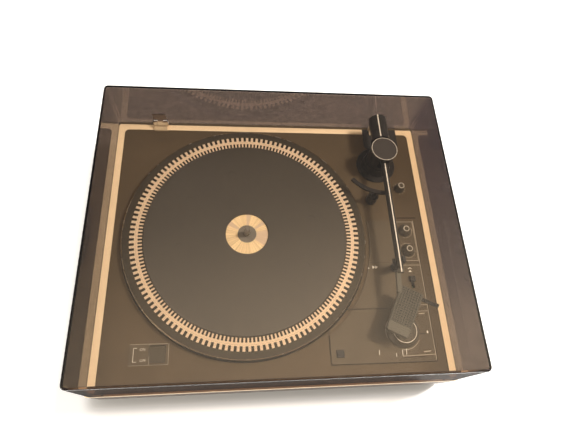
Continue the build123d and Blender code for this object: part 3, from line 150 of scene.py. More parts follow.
class Graph(Tree):
    """The node tree of a material or of the room."""

    def __init__(self, name: str, room: bool = False) -> None:
        """Start an empty tree.

        Args:
            name: The material's or the world's name.
            room: Whether the tree is the world's.
        """
        self.owner = (bpy.data.worlds if room else bpy.data.materials).new(name)
        self.owner.use_nodes = True
        self.tree = self.owner.node_tree
        self.tree.nodes.clear()
        self.output = self.node(f"ShaderNodeOutput{'World' if room else 'Material'}")
        coordinates = self.node("ShaderNodeTexCoord").outputs
        self.place = coordinates["Generated" if room else "Object"]

    def vector(self, operation: str, *values: object) -> Socket:
        """Result of a Vector Math node on one or two values or sockets."""
        made = self.node("ShaderNodeVectorMath", dict(enumerate(values)), operation=operation)
        return made.outputs["Value" if operation in ("LENGTH", "DOT_PRODUCT") else "Vector"]

    def span(self, value: object, low: float, high: float, start: float = 0.0,
             end: float = 1.0) -> Socket:
        """Value's run from low to high, spread from start to end and held outside."""
        return self.node("ShaderNodeMapRange", {0: value, 1: low, 2: high, 3: start, 4: end},
                         interpolation_type="SMOOTHSTEP").outputs[0]

    def along(self, axis: int) -> Socket:
        """Place along one axis of the object or the room."""
        return self.node("ShaderNodeSeparateXYZ", {0: self.place}).outputs[axis]

    def past(self, axis: int, start: float, end: float) -> Socket:
        """Mask that goes from 0 at one place along an axis to 1 at another, in millimetres."""
        return self.span(self.along(axis), start * MM, end * MM)

    def noise(self, size: float, detail: float = 2.0, stretch: tuple = (1, 1, 1),
              place: object = None) -> Socket:
        """Noise whose features are about a given size.

        Args:
            size: Size of a feature in millimetres.
            detail: Number of finer layers.
            stretch: Scale along each axis, for streaks.
            place: Coordinates to read instead of the object's own.

        Returns:
            The noise's value from 0 to 1.
        """
        spot = self.node("ShaderNodeMapping", {"Vector": place or self.place, "Scale": stretch})
        return self.node("ShaderNodeTexNoise", {
            "Vector": spot.outputs[0], "Scale": 1 / (size * MM), "Detail": detail,
            "Roughness": 0.55}).outputs["Fac"]

    def blend(self, share: object, first: object, second: object, kind: str = "MIX") -> Socket:
        """Colour that goes from first to second with share."""
        return self.node("ShaderNodeMix", {0: share, 6: first, 7: second}, data_type="RGBA",
                         blend_type=kind).outputs[2]

    def shades(self, colour: object, value: object, depth: float) -> Socket:
        """Colour made lighter and darker by value, by up to depth either way."""
        level = self.span(value, 0.25, 0.75, 1 - depth, 1 + depth)
        grey = self.node("ShaderNodeCombineColor", {0: level, 1: level, 2: level}).outputs[0]
        return self.blend(1.0, colour, grey, "MULTIPLY")

    def mixed(self, share: object, first: bpy.types.Node, second: bpy.types.Node) -> bpy.types.Node:
        """Shader that goes from first to second with share."""
        return self.node("ShaderNodeMixShader", {
            0: share, 1: first.outputs[0], 2: second.outputs[0]})

    def bump(self, height: object, depth: float) -> Socket:
        """Normal of a surface whose height varies by depth millimetres."""
        return self.node("ShaderNodeBump", {
            "Height": height, "Distance": depth * MM, "Strength": 1.0}).outputs[0]

    def worn_edge(self, radius: float) -> Socket:
        """Mask that is 1 on edges sharper than a radius in millimetres, broken by noise."""
        soft = self.node("ShaderNodeBevel", {"Radius": radius * MM}, samples=4).outputs[0]
        sharp = self.node("ShaderNodeNewGeometry").outputs["Normal"]
        edge = self.span(self.vector("DOT_PRODUCT", soft, sharp), 0.97, 0.80)
        return self.math("MULTIPLY", edge, self.span(self.noise(3.0), 0.42, 0.62))

    def finish(self, shader: bpy.types.Node) -> bpy.types.ID:
        """Join the shader to the output and return the material or world."""
        self.feed(self.output.inputs["Surface"], shader.outputs[0])
        return self.owner


@dataclass(frozen=True)
class Finish:
    """A surface finish with fine grain, shade variation and worn edges."""

    name: str
    colour: Colour
    roughness: float = 0.45
    metal: float = 0.0
    grain: float = 0.35
    relief: float = 0.01
    mottle: float = 0.08
    wear: float = 0.0
    worn_colour: Colour = (0.6, 0.52, 0.42)
    worn_share: float = 0.55
    shine: float = 0.5
    bend: float = 1.5
    slot: str = "black_plastic"

    def material(self) -> bpy.types.Material:
        """Build the finish's material."""
        graph = Graph(self.name)
        fine = graph.noise(self.grain, 3.0)
        colour = graph.shades(self.base(graph), graph.noise(BROAD_SIZE, 3.0), self.mottle)
        colour = graph.shades(colour, fine, self.mottle * 0.7)
        rough = graph.span(graph.noise(SMEAR_SIZE, 4.0), 0.2, 0.8, self.roughness * 0.86,
                           min(1.0, self.roughness * 1.14))
        if self.wear:
            edge = graph.math("MULTIPLY", graph.worn_edge(self.wear), self.worn_share)
            colour = graph.blend(edge, colour, self.worn_colour)
        return graph.finish(graph.node("ShaderNodeBsdfPrincipled", {
            "Base Color": colour, "Metallic": self.metal, "Roughness": rough,
            "Specular IOR Level": self.shine, "IOR": self.bend,
            "Normal": graph.bump(fine, self.relief)}))

    def base(self, graph: Graph) -> object:
        """The colour before shade variation."""
        return self.colour


@dataclass(frozen=True)
class PlinthFinish(Finish):
    """Satin paint on the deck, with grained brown sides."""

    side_colour: Colour = (0.05, 0.03, 0.02)
    streak_gain: float = 2.4
    streak_stretch: Triple = (0.16, 0.16, 1.6)
    deck_level: float = 59.0

    def base(self, graph: Graph) -> object:
        """Deck colour on top and a streaked brown below it."""
        streak = graph.noise(2.2, 5.0, stretch=self.streak_stretch)
        side = graph.blend(graph.span(streak, 0.35, 0.7), self.side_colour,
                           tuple(self.streak_gain * part for part in self.side_colour))
        top = graph.past(Z_AXIS, self.deck_level - 0.4, self.deck_level)
        return graph.blend(top, side, self.colour)


class Lay(Enum):
    """Which way the marks of brushing run."""

    ALONG_X = (0.04, 1.0, 1.0)
    ALONG_Y = (1.0, 0.04, 1.0)
    ROUND_DECK = (0.04, 0.04, 1.0)
    ALL_ROUND = (1.0, 1.0, 1.0)


@dataclass(frozen=True)
class BrushedFinish(Finish):
    """Metal with straight brushing or turned rings round an upright axis, with painted radial sheen
    where asked.
    """

    metal: float = 1.0
    lay: Lay = Lay.ALONG_X
    centre: Point = (0.0, 0.0)
    anisotropy: float = 0.6
    rays: float = 0.0
    ray_size: float = 45.0
    sector_size: float = 700.0
    sector_span: Point = (0.53, 0.59)
    painted_sector_share: float = 0.75
    painted_sector_tone: Colour = (0.72, 0.72, 0.95)

    def marks(self, graph: Graph) -> tuple[Socket, Socket]:
        """Tangent of the marks of brushing, and the streaks that they leave."""
        if self.lay is Lay.ALL_ROUND:
            arm = graph.vector("SUBTRACT", graph.place, (*(c * MM for c in self.centre), 0.0))
            flat = graph.vector("MULTIPLY", arm, (1.0, 1.0, 0.0))
            away = graph.point(graph.vector("LENGTH", flat))
            return graph.vector("NORMALIZE", flat), graph.noise(self.grain, place=away)
        if self.lay is Lay.ROUND_DECK:
            rear = graph.math("GREATER_THAN", graph.along(Y_AXIS), REAR_RUN * MM)
            side = graph.math("SUBTRACT", 1.0, rear)
            parts = [graph.math("MULTIPLY", share, graph.noise(self.grain, stretch=lay.value))
                     for share, lay in ((side, Lay.ALONG_Y), (rear, Lay.ALONG_X))]
            return graph.point(side, rear), graph.math("ADD", *parts)
        tangent = graph.point(float(self.lay is Lay.ALONG_Y), float(self.lay is Lay.ALONG_X))
        return tangent, graph.noise(self.grain, stretch=self.lay.value)

    def material(self) -> bpy.types.Material:
        """Build the brushed material."""
        graph = Graph(self.name)
        tangent, streak = self.marks(graph)
        colour = graph.shades(self.colour, graph.noise(24.0, 3.0), self.mottle)
        colour = graph.shades(colour, streak, self.mottle * 0.8)
        # Painted reflection: radial streaks and broad tinted sectors in the colour stand in for the
        # turned metal's sheen.
        if self.rays:
            ray = graph.noise(self.ray_size, 4.0, place=tangent)
            colour = graph.shades(colour, ray, self.rays)
            sector = graph.noise(self.sector_size, 1.0, place=tangent)
            share = graph.math("MULTIPLY", graph.span(sector, *self.sector_span),
                               self.painted_sector_share)
            colour = graph.blend(share, colour,
                                 tuple(a * b for a, b in zip(self.colour, self.painted_sector_tone)))
        rough = graph.span(streak, 0.2, 0.8, self.roughness * 0.8, self.roughness * 1.2)
        return graph.finish(graph.node("ShaderNodeBsdfPrincipled", {
            "Base Color": colour, "Metallic": self.metal, "Roughness": rough,
            "Anisotropic": self.anisotropy, "Tangent": tangent,
            "Normal": graph.bump(streak, self.relief)}))


@dataclass(frozen=True)
class HingeFinish(Finish):
    """Brown hinge plate whose rolled lower end is champagne."""

    roll_colour: Colour = (0.62, 0.47, 0.29)
    roll_top: float = 69.5

    def base(self, graph: Graph) -> object:
        """Champagne below the top of the roll and brown above it."""
        top = graph.past(Z_AXIS, self.roll_top - 0.3, self.roll_top)
        return graph.blend(top, self.roll_colour, self.colour)


@dataclass(frozen=True)
class SmokedFinish:
    """Clear smoked acrylic, with fine scratches, that lets lamps reach what it covers. Its walls
    carry painted shade: a tint far darker than the top's, darker patches on the right and left,
    dark front corners and a dark band under the front's top edge. The front wall is mostly seen
    through a brown tint instead of mirroring the floor.

    A span gives the places, in millimetres, between which a tint comes in.
    """

    name: str
    top_tint: Colour = (0.88, 0.83, 0.77)
    top_span: Point = (137.0, 138.0)
    # Painted shade: the walls are tinted far darker than the top, and darker still in the right and
    # left patches.
    wall_painted_shade: Colour = (0.090, 0.069, 0.060)
    wall_shade: Colour = (0.86, 0.83, 0.79)
    wall_dust: float = 0.28
    right_painted_shade: Colour = (0.045, 0.034, 0.036)
    right_spans: tuple[Point, Point] = ((196.0, 203.0), (-130.0, -50.0))
    left_painted_shade: Colour = (0.045, 0.034, 0.028)
    left_spans: tuple[Point, Point] = ((-196.0, -203.0), (0.0, -100.0))
    # Painted shade on the front wall: it is mostly seen through this brown tint instead of
    # mirroring the floor, and is darkest at its corners and under its top edge.
    front_painted_shade: Colour = (0.55, 0.45, 0.38)
    front_span: Point = (-168.4, -168.8)
    front_share: float = 0.86
    front_dust: float = 0.10
    corner_painted_shade: Colour = (0.045, 0.035, 0.042)
    corner_span: Point = (188.0, 206.0)
    top_edge_shade_span: Point = (130.0, 136.0)
    dust_size: float = 6.0
    absorption: Colour = (0.25, 0.10, 0.05)
    density: float = 30.0
    refraction: float = 1.49

    def side(self, graph: Graph, spans: tuple[Point, Point]) -> Socket:
        """Mask of a side wall, from its spans along X and Y."""
        return graph.math("MULTIPLY", graph.past(X_AXIS, *spans[0]),
                          graph.past(Y_AXIS, *spans[1]))

    def polish(self, graph: Graph) -> Socket:
        """Low roughness, with smears and fine scratches."""
        smear = graph.noise(60.0, 4.0, stretch=(1.0, 0.4, 1.0))
        scratch = graph.noise(1.6, 1.0, stretch=(0.03, 1.0, 1.0))
        return graph.math("ADD", graph.span(smear, 0.45, 0.8, 0.012, 0.05),
                          graph.span(scratch, 0.74, 0.80, 0.0, 0.10))

    def material(self) -> bpy.types.Material:
        """Build the see-through material."""
        graph = Graph(self.name)
        top = graph.past(Z_AXIS, *self.top_span)
        dust = graph.noise(self.dust_size, 5.0)
        # Painted shade: the darker wall tint and its darker right and left patches.
        wall = graph.blend(self.side(graph, self.right_spans), self.wall_painted_shade, self.right_painted_shade)
        wall = graph.blend(self.side(graph, self.left_spans), wall, self.left_painted_shade)
        tint = graph.blend(top, graph.shades(wall, dust, self.wall_dust), self.top_tint)
        glass = graph.node("ShaderNodeBsdfPrincipled", {
            "Base Color": tint, "Transmission Weight": 1.0, "Roughness": self.polish(graph),
            "IOR": self.refraction})
        # Painted shade: dark front corners and a dark band under the top edge of the front wall.
        corner = graph.span(graph.math("ABSOLUTE", graph.along(X_AXIS)),
                            *(place * MM for place in self.corner_span))
        dark = graph.math("MAXIMUM", corner, graph.past(Z_AXIS, *self.top_edge_shade_span))
        thin = graph.node("ShaderNodeBsdfTransparent", {"Color": graph.blend(
            dark, graph.shades(self.front_painted_shade, dust, self.front_dust), self.corner_painted_shade)})
        front = graph.math("MULTIPLY", graph.math("SUBTRACT", 1.0, top),
                           graph.past(Y_AXIS, *self.front_span))
        share = graph.math("MULTIPLY", front, graph.math("MAXIMUM", dark, self.front_share))
        clear = graph.node("ShaderNodeBsdfTransparent", {
            "Color": graph.blend(top, self.wall_shade, (1.0, 1.0, 1.0))})
        path = graph.node("ShaderNodeLightPath").outputs
        passing = graph.math("MAXIMUM", path["Is Shadow Ray"], path["Is Diffuse Ray"])
        inside = graph.node("ShaderNodeVolumeAbsorption", {
            "Color": self.absorption, "Density": self.density})
        graph.feed(graph.output.inputs["Volume"], inside.outputs[0])
        return graph.finish(graph.mixed(passing, graph.mixed(share, glass, thin), clear))


SPINDLE = (-35.5, 6.5)
REAR_RUN = 163.2
PIVOT = (145.0, 111.6)


def turned(name: str, colour: Colour, *basics: float, **changes) -> BrushedFinish:
    """Metal with rings turned round the spindle."""
    return BrushedFinish(name, colour, *basics, lay=Lay.ALL_ROUND, centre=SPINDLE, **changes)


# After the colour of each: roughness, metal, grain and relief in millimetres, mottle.
PLINTH_PAINT = PlinthFinish("plinth_paint", (0.150, 0.107, 0.062), 0.40, 0.55, 0.25, 0.004, 0.05)
PANEL_PAINT = Finish("panel_paint", (0.146, 0.113, 0.073), 0.42, 0.45, 0.25, 0.004, 0.05, wear=0.5,
                     worn_colour=(0.30, 0.24, 0.16))
CHAMPAGNE_Y = BrushedFinish("champagne_strips", (1.0, 0.76, 0.48), 0.40, 0.25, 0.4, 0.003, 0.04,
                            lay=Lay.ROUND_DECK)
# Front trim: champagne paler than the strips, partly a painted highlight for the glint along the
# front edge.
CHAMPAGNE_X = BrushedFinish("champagne_along_x", (1.0, 0.84, 0.60), 0.40, 0.2, 0.4, 0.003, 0.05,
                            lay=Lay.ALONG_X)
BLACK_PLASTIC = Finish("black_plastic", (0.030, 0.027, 0.024), 0.42, 0.0, 0.45, 0.012, 0.15,
                       wear=0.4, worn_colour=(0.10, 0.09, 0.08))
RUBBER = Finish("rubber", (0.022, 0.021, 0.020), 0.85, 0.0, 0.6, 0.03, 0.25, shine=0.3)
STEEL = Finish("steel", (0.56, 0.56, 0.57), 0.32, 1.0, 0.5, 0.004, 0.10)
BRONZE = BrushedFinish("bronze", (0.62, 0.44, 0.24), 0.3, 1.0, 0.3, 0.003, 0.1, lay=Lay.ALL_ROUND)
IRON = Finish("transformer_iron", (0.12, 0.11, 0.10), 0.55, 0.7, 0.5, 0.02, 0.2)
BOARD = Finish("board_green", (0.035, 0.14, 0.055), 0.35, 0.0, 1.2, 0.01, 0.12)
ARM_DARK = Finish("arm_dark", (0.036, 0.032, 0.028), 0.34, 0.5, 0.3, 0.003, 0.12, wear=0.35,
                  worn_colour=(0.16, 0.14, 0.12))
CAP_DARK = Finish("cap_dark", (0.046, 0.038, 0.032), 0.5, 0.2, 0.3, 0.004, 0.12)
PLATTER_DARK = turned("platter_dark", (0.095, 0.078, 0.055), 0.38, 0.7, 0.5, 0.003, 0.06)
STROBE_GROUND = turned("strobe_ground", (0.030, 0.024, 0.017), 0.42, 0.4, 0.5, 0.002, 0.06)
STROBE_GOLD = turned("strobe_gold", (1.0, 0.75, 0.50), 0.3, 0.52, 0.5, 0.002, 0.04, anisotropy=0.8,
                     slot="strobe_gold")
# Hub disc: gold with painted radial sheen and painted reflection sectors.
HUB_GOLD = turned("hub_gold", (1.0, 0.73, 0.40), 0.32, 0.38, 0.35, 0.004, 0.06, anisotropy=0.85,
                  rays=0.32)
# Hub face: its own grey-brown, made lighter partly as a painted reflection of the light across it.
HUB_FACE = turned("hub_face", (0.24, 0.21, 0.165), 0.42, 0.4, 0.6, 0.003, 0.18, slot="champagne")
MAT_RUBBER = Finish("mat_rubber", (0.027, 0.020, 0.010), 0.36, 0.1, 0.5, 0.005, 0.07, shine=1.0,
                    bend=1.95)
CHROME = Finish("chrome", (0.52, 0.49, 0.44), 0.30, 1.0, 1.0, 0.001, 0.05)
# Bright champagne for the real rings, and for the lines that paint highlights on the tonearm.
BRIGHT_RING_AND_HIGHLIGHT = Finish("bright_ring_and_painted_highlight", (1.0, 0.90, 0.74), 0.3, 0.4, 0.4, 0.002, 0.05, slot="champagne")
RIM_METAL = Finish("rim_metal", (0.52, 0.45, 0.34), 0.26, 1.0, 0.4, 0.001, 0.05, slot="champagne")
PRINT = Finish("print", (0.95, 0.86, 0.70), 0.6, 0.0, 0.2, 0.002, 0.12, slot="champagne")
# Pale line for printed scales and outlines, and for lines that paint highlights on the panel's
# edges.
PRINT_AND_HIGHLIGHT_LINE = Finish("fine_print_and_painted_highlight", (0.50, 0.42, 0.31), 0.6, 0.0, 0.2, 0.002, 0.15, slot="champagne")
# Near-black for seams and for lines of painted shade beside raised edges.
SEAM_AND_SHADE_DARK = Finish("seam_and_painted_shade", (0.020, 0.014, 0.010), 0.7, 0.0, 0.3, 0.004, 0.2)
SMOKED = SmokedFinish("smoked_acrylic")
# Dark plate that paints shade in the headshell's pockets.
POCKET_SHADE = Finish("pocket_painted_shade", (0.034, 0.030, 0.022), 0.6, 0.0, 0.3, 0.008, 0.2)
HINGE_SATIN = Finish("hinge_satin", (0.62, 0.47, 0.29), 0.5, 0.2, 0.4, 0.006, 0.08, wear=0.3,
                     worn_colour=(0.8, 0.7, 0.5))
KNOB_BROWN = Finish("knob_brown", (0.080, 0.064, 0.043), 0.42, 0.15, 0.3, 0.006, 0.08, wear=0.3,
                    worn_colour=(0.24, 0.20, 0.14))
HINGE_BROWN = HingeFinish("hinge_brown", (0.21, 0.15, 0.11), 0.42, 0.0, 0.5, 0.008, 0.12,
                          wear=0.35, worn_colour=(0.30, 0.22, 0.15))
HEAD_PLASTIC = Finish("headshell_plastic", (0.120, 0.108, 0.080), 0.45, 0.2, 0.3, 0.006, 0.10,
                      wear=0.3, worn_colour=(0.25, 0.22, 0.17))

NODE_FINISH = {
    PLINTH_PAINT: ("plinth_shell",),
    PANEL_PAINT: ("control_panel", "power_plate"),
    CHAMPAGNE_Y: ("trim_left", "trim_right"),
    HINGE_SATIN: ("hinge_base_left", "hinge_base_right"),
    CHAMPAGNE_X: ("front_trim",),
    BLACK_PLASTIC: ("base_plate", "rear_cover", "board_parts", "panel_switches", "power_switch",
                    "arm_rest", "subplatter", "cartridge", "stylus", "lift_lever",
                    "start_button"),
    KNOB_BROWN: ("pitch_knob_rear", "pitch_knob_front", "antiskate_knob", "selector_dial",
                 "power_rocker"),
    RUBBER: ("feet", "drive_belt", "mains_gland", "audio_gland", "lid_buffers"),
    STEEL: ("base_screws", "bearing_housing", "thrust_ball", "motor", "well_screws",
            "control_pots", "arm_nut", "gimbal_pins"),
    BRONZE: ("bearing_bushes", "motor_pulley"),
    IRON: ("transformer",),
    BOARD: ("circuit_board",),
    CAP_DARK: ("pivot_cap",),
    ARM_DARK: ("arm_base", "lift_sleeve", "arm_yoke", "arm_tube", "finger_lift",
               "counterweight", "force_dial", "lift_bar"),
    PLATTER_DARK: ("platter",),
    STROBE_GROUND: ("strobe_ring",),
    HUB_GOLD: ("centre_disc",),
    MAT_RUBBER: ("platter_mat",),
    CHROME: ("spindle",),
    HEAD_PLASTIC: ("headshell", "arm_neck"),
    HINGE_BROWN: ("hinge_bracket_left", "hinge_bracket_right"),
    SMOKED: ("lid",),
}


@cache
def material_of(finish: Finish | SmokedFinish) -> bpy.types.Material:
    """A finish's material, built at its first use."""
    return finish.material()


def dress_nodes() -> None:
    """Give every frame node its finish."""
    for finish, nodes in NODE_FINISH.items():
        for name in nodes:
            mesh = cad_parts[name].data
            mesh.materials.clear()
            mesh.materials.append(material_of(finish))
        log.info("%s: %d nodes", finish.name, len(nodes))
    bare = set(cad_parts) - {name for nodes in NODE_FINISH.values() for name in nodes}
    if bare:
        raise ValueError(f"nodes with no finish: {sorted(bare)}")


class Piece:
    """A mesh under construction, in millimetres, that becomes an object on a body."""

    def __init__(self, name: str) -> None:
        """Start an empty piece.

        Args:
            name: The object's name.
        """
        self.name = name
        self.mesh = bmesh.new()
        self.level: Point = (0.0, 0.0)

    def at(self, bottom: float, top: float) -> Piece:
        """Set the heights between which the flat shapes that follow lie."""
        self.level = (bottom, top)
        return self

    def lathe(self, centre: Point, profile: list[Point], steps: int = 96) -> Piece:
        """Add a closed ring turned round an upright axis.

        Args:
            centre: The axis's place.
            profile: Corners of the section as radius and height, in order.
            steps: Number of facets round the axis.

        Returns:
            The piece itself.
        """
        rounds = []
        for step in range(steps):
            angle = 2 * math.pi * step / steps
            rounds.append([self.mesh.verts.new((*on_circle(centre, r, angle), z))
                           for r, z in profile])
        for step, here in enumerate(rounds):
            there = rounds[(step + 1) % steps]
            for corner in range(len(profile)):
                after = (corner + 1) % len(profile)
                self.mesh.faces.new((here[corner], there[corner], there[after], here[after]))
        return self

    def ring(self, centre: Point, inner: float, outer: float, steps: int = 96) -> Piece:
        """Add a flat ring between two radii."""
        bottom, top = self.level
        return self.lathe(centre, [(inner, bottom), (outer, bottom), (outer, top), (inner, top)],
                          steps)

    def slab(self, outline: list[Point]) -> Piece:
        """Add a flat plate of a given outline."""
        bottom, top = self.level
        return self.wedge(outline, [bottom] * len(outline), [top] * len(outline))

    def plate(self, left: float, right: float, front: float, rear: float) -> Piece:
        """Add a flat rectangular plate."""
        return self.slab([(left, front), (right, front), (right, rear), (left, rear)])

    def stroke(self, points: list[Point], width: float) -> Piece:
        """Add a flat line of straight stretches with square ends."""
        for (x0, y0), (x1, y1) in zip(points, points[1:]):
            along = Vector((x1 - x0, y1 - y0)).normalized() * width / 2
            side = Vector((-along.y, along.x))
            start, end = Vector((x0, y0)) - along, Vector((x1, y1)) + along
            self.slab([tuple(p) for p in (start - side, end - side, end + side, start + side)])
        return self

    def arc(self, centre: Point, radius: float, start: float, end: float, width: float) -> Piece:
        """Add a flat arc line from one angle to another, in degrees."""
        steps = max(6, int(abs(end - start) / 3))
        return self.slab(band(centre, (radius - width / 2, radius + width / 2), start, end, steps))

    def words(self, text: str, size: float, spot: Point, thin: float) -> Piece:
        """Add raised lettering whose middle stands at a spot, with its strokes thinned."""
        bottom, top = self.level
        curve = bpy.data.curves.new(self.name + "_words", "FONT")
        curve.body = text
        curve.size = size
        curve.extrude = (top - bottom) / 2
        curve.offset = -thin
        curve.align_x = curve.align_y = "CENTER"
        curve.resolution_u = 3
        holder = bpy.data.objects.new(curve.name, curve)
        mesh = bpy.data.meshes.new_from_object(holder)
        mesh.transform(Matrix.Translation((*spot, (bottom + top) / 2)))
        self.mesh.from_mesh(mesh)
        bpy.data.objects.remove(holder)
        bpy.data.curves.remove(curve)
        bpy.data.meshes.remove(mesh)
        return self

    def bar(self, section: list[Point], front: float, rear: float) -> Piece:
        """Add a bar along Y whose section is given as X and Z."""
        ends = [[self.mesh.verts.new((x, y, z)) for x, z in section] for y in (front, rear)]
        self.mesh.faces.new(ends[0])
        self.mesh.faces.new(list(reversed(ends[1])))
        for k in range(len(section)):
            after = (k + 1) % len(section)
            self.mesh.faces.new((ends[0][k], ends[0][after], ends[1][after], ends[1][k]))
        return self

    def wedge(self, outline: list[Point], bottoms: list[float], tops: list[float]) -> Piece:
        """Add a block with a sloping top and underside over an outline."""
        low = [self.mesh.verts.new((x, y, z)) for (x, y), z in zip(outline, bottoms)]
        high = [self.mesh.verts.new((x, y, z)) for (x, y), z in zip(outline, tops)]
        self.mesh.faces.new(list(reversed(low)))
        self.mesh.faces.new(high)
        for index, corner in enumerate(low):
            after = (index + 1) % len(low)
            self.mesh.faces.new((corner, low[after], high[after], high[index]))
        return self

    def softened(self, width: float) -> Piece:
        """Round every edge by a width."""
        bmesh.ops.bevel(self.mesh, geom=list(self.mesh.edges), offset=width, segments=2,
                        affect="EDGES", profile=0.6)
        return self

    def place(self, body: str, finish: Finish, smooth: float | None = None) -> bpy.types.Object:
        """Turn the piece into an object that rides on a body, as settle does."""
        bmesh.ops.remove_doubles(self.mesh, verts=self.mesh.verts, dist=0.0005)
        bmesh.ops.recalc_face_normals(self.mesh, faces=self.mesh.faces)
        self.mesh.transform(Matrix.Scale(MM, 4))
        data = bpy.data.meshes.new(self.name)
        self.mesh.to_mesh(data)
        self.mesh.free()
        return settle(self.name, data, body, finish, smooth)


def settle(name: str, data: bpy.types.Mesh, body: str, finish: Finish,
           smooth: float | None = None) -> bpy.types.Object:
    """Link a mesh as a named object on a body, with its finish.

    Args:
        name: The object's name.
        data: The finished mesh, in metres.
        body: Name of the frame body.
        finish: The piece's finish.
        smooth: Angle in degrees below which edges are shaded smooth.

    Returns:
        The finished object.
    """
    data.materials.clear()
    data.materials.append(material_of(finish))
    made = added(name, data)
    if smooth is not None:
        data.shade_smooth()
        data.set_sharp_from_angle(angle=math.radians(smooth))
    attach(made, body)
    log.info("%s: %d faces on %s", name, len(data.polygons), body)
    return made


class Copies(Tree):
    """A Geometry Nodes tree that repeats a small block, round a circle or over a grid."""

    def __init__(self, name: str) -> None:
        """Start the tree.

        Args:
            name: Name of the tree and of the object that carries it.
        """
        self.name = name
        self.tree = bpy.data.node_groups.new(name, "GeometryNodeTree")
        self.values: dict[str, float] = {}
        self.tree.interface.new_socket("Geometry", in_out="OUTPUT",
                                       socket_type="NodeSocketGeometry")
        self.source = self.node("NodeGroupInput")
        self.sink = self.node("NodeGroupOutput")

    def number(self, name: str, value: float, whole: bool = False) -> Socket:
        """Add a named input and return its socket inside the tree."""
        kind = "NodeSocketInt" if whole else "NodeSocketFloat"
        made = self.tree.interface.new_socket(name, in_out="INPUT", socket_type=kind)
        self.values[made.identifier] = value
        return self.source.outputs[name]

    def block(self, size: tuple[object, object, object]) -> Socket:
        """A block whose sides are the three inputs."""
        return self.node("GeometryNodeMeshCube", {"Size": self.point(*size)}).outputs[0]

    def round_circle(self, block: Socket, count: object, radius: object, centre: Triple) -> Socket:
        """Copies of a block on a circle, each turned to point outwards."""
        spots = self.node("GeometryNodeMeshCircle", {"Vertices": count, "Radius": radius})
        angle = self.math("MULTIPLY", self.node("GeometryNodeInputIndex").outputs[0],
                          self.math("DIVIDE", math.tau, count))
        copies = self.node("GeometryNodeInstanceOnPoints", {
            "Points": spots.outputs["Mesh"], "Instance": block, "Rotation": self.point(z=angle)})
        return self.moved(copies.outputs[0], centre)

    def over_grid(self, block: Socket, counts: tuple[object, object],
                  spans: tuple[object, object]) -> Socket:
        """Copies of a block on the points of a grid in the XY plane."""
        spots = self.node("GeometryNodeMeshGrid", {
            "Size X": spans[0], "Size Y": spans[1], "Vertices X": counts[0],
            "Vertices Y": counts[1]})
        return self.node("GeometryNodeInstanceOnPoints", {
            "Points": spots.outputs["Mesh"], "Instance": block}).outputs[0]

    def moved(self, shape: Socket, place: Triple, turn: Triple = (0, 0, 0)) -> Socket:
        """A shape moved to a place and turned, in metres and radians."""
        return self.node("GeometryNodeTransform", {
            "Geometry": shape, "Translation": place, "Rotation": turn}).outputs[0]

    def joined(self, shapes: list[Socket]) -> Socket:
        """Several shapes as one."""
        join = self.node("GeometryNodeJoinGeometry")
        for shape in shapes:
            self.feed(join.inputs[0], shape)
        return join.outputs[0]

    def place(self, shape: Socket, body: str, finish: Finish) -> bpy.types.Object:
        """Make the copies real and turn them into an object that rides on a body.

        Args:
            shape: The shape that the tree makes.
            body: Name of the frame body.
            finish: The finish of every face.

        Returns:
            The finished object, with no modifier left.
        """
        real = self.node("GeometryNodeRealizeInstances", {0: shape}).outputs[0]
        coated = self.node("GeometryNodeSetMaterial", {
            "Geometry": real, "Material": material_of(finish)})
        self.feed(self.sink.inputs[0], coated.outputs[0])
        carrier = added(self.name + "_carrier", bpy.data.meshes.new(self.name))
        modifier = carrier.modifiers.new("copies", "NODES")
        modifier.node_group = self.tree
        for identifier, value in self.values.items():
            modifier[identifier] = value
        seen = carrier.evaluated_get(bpy.context.evaluated_depsgraph_get())
        data = bpy.data.meshes.new_from_object(seen)
        carrier.modifiers.clear()
        bpy.data.objects.remove(carrier)
        data.name = self.name
        return settle(self.name, data, body, finish)


@dataclass
class Platter:
    """The platter's printed strobe ring, bright rim line and hub detail."""

    top: float = 67.6
    proud: float = 0.10
    band_inner: float = 131.7
    band_outer: float = 135.7
    tooth_outer_end: float = 141.5
    tooth_inner_end: float = 126.4
    coarse_count: int = 133
    fine_count: int = 180
    coarse_share: float = 0.50
    fine_share: float = 0.46
    rim_radius: float = 151.0
    chamfer: float = 0.7
    hub_radii: Point = (3.8, 11.6)

    def teeth(self, name: str, count: int, start: float, end: float, share: float) -> None:
        """Add a circle of printed teeth between two radii."""
        copies = Copies(name)
        middle = (start + end) / 2
        number = copies.number("Count", count, whole=True)
        radius = copies.number("Radius", middle * MM)
        length = copies.number("Tooth length", (end - start) * MM)
        width = copies.number("Tooth width", math.tau * middle / count * share * MM)
        height = copies.number("Height", self.proud * MM)
        block = copies.block((length, width, height))
        level = self.top + self.proud / 2
        copies.place(copies.round_circle(block, number, radius, tuple(
            part * MM for part in (*SPINDLE, level))), "platter", STROBE_GOLD)

    def build(self) -> None:
        """Build every piece of the platter's dress."""
        low, high = self.top - 0.05, self.top + self.proud
        Piece("strobe_band").at(low, high).ring(SPINDLE, self.band_inner, self.band_outer,
                                                256).place("platter", STROBE_GOLD)
        self.teeth("strobe_coarse_teeth", self.coarse_count, self.band_outer - 0.1,
                   self.tooth_outer_end, self.coarse_share)
        self.teeth("strobe_fine_teeth", self.fine_count, self.tooth_inner_end,
                   self.band_inner + 0.1, self.fine_share)
        Piece("hub_face").at(self.top - 0.3, self.top + 0.05).ring(SPINDLE, *self.hub_radii).place(
            "platter", HUB_FACE, SMOOTH)
        edge, cut = self.rim_radius, self.chamfer
        Piece("platter_edge_line").lathe(SPINDLE, [
            (edge - cut - 0.25, self.top - 0.1), (edge - 0.02, self.top - cut - 0.1),
            (edge + 0.03, self.top - cut), (edge - cut, self.top + 0.03),
            (edge - cut - 0.25, self.top + 0.03)], 256).place("platter", RIM_METAL, SMOOTH)


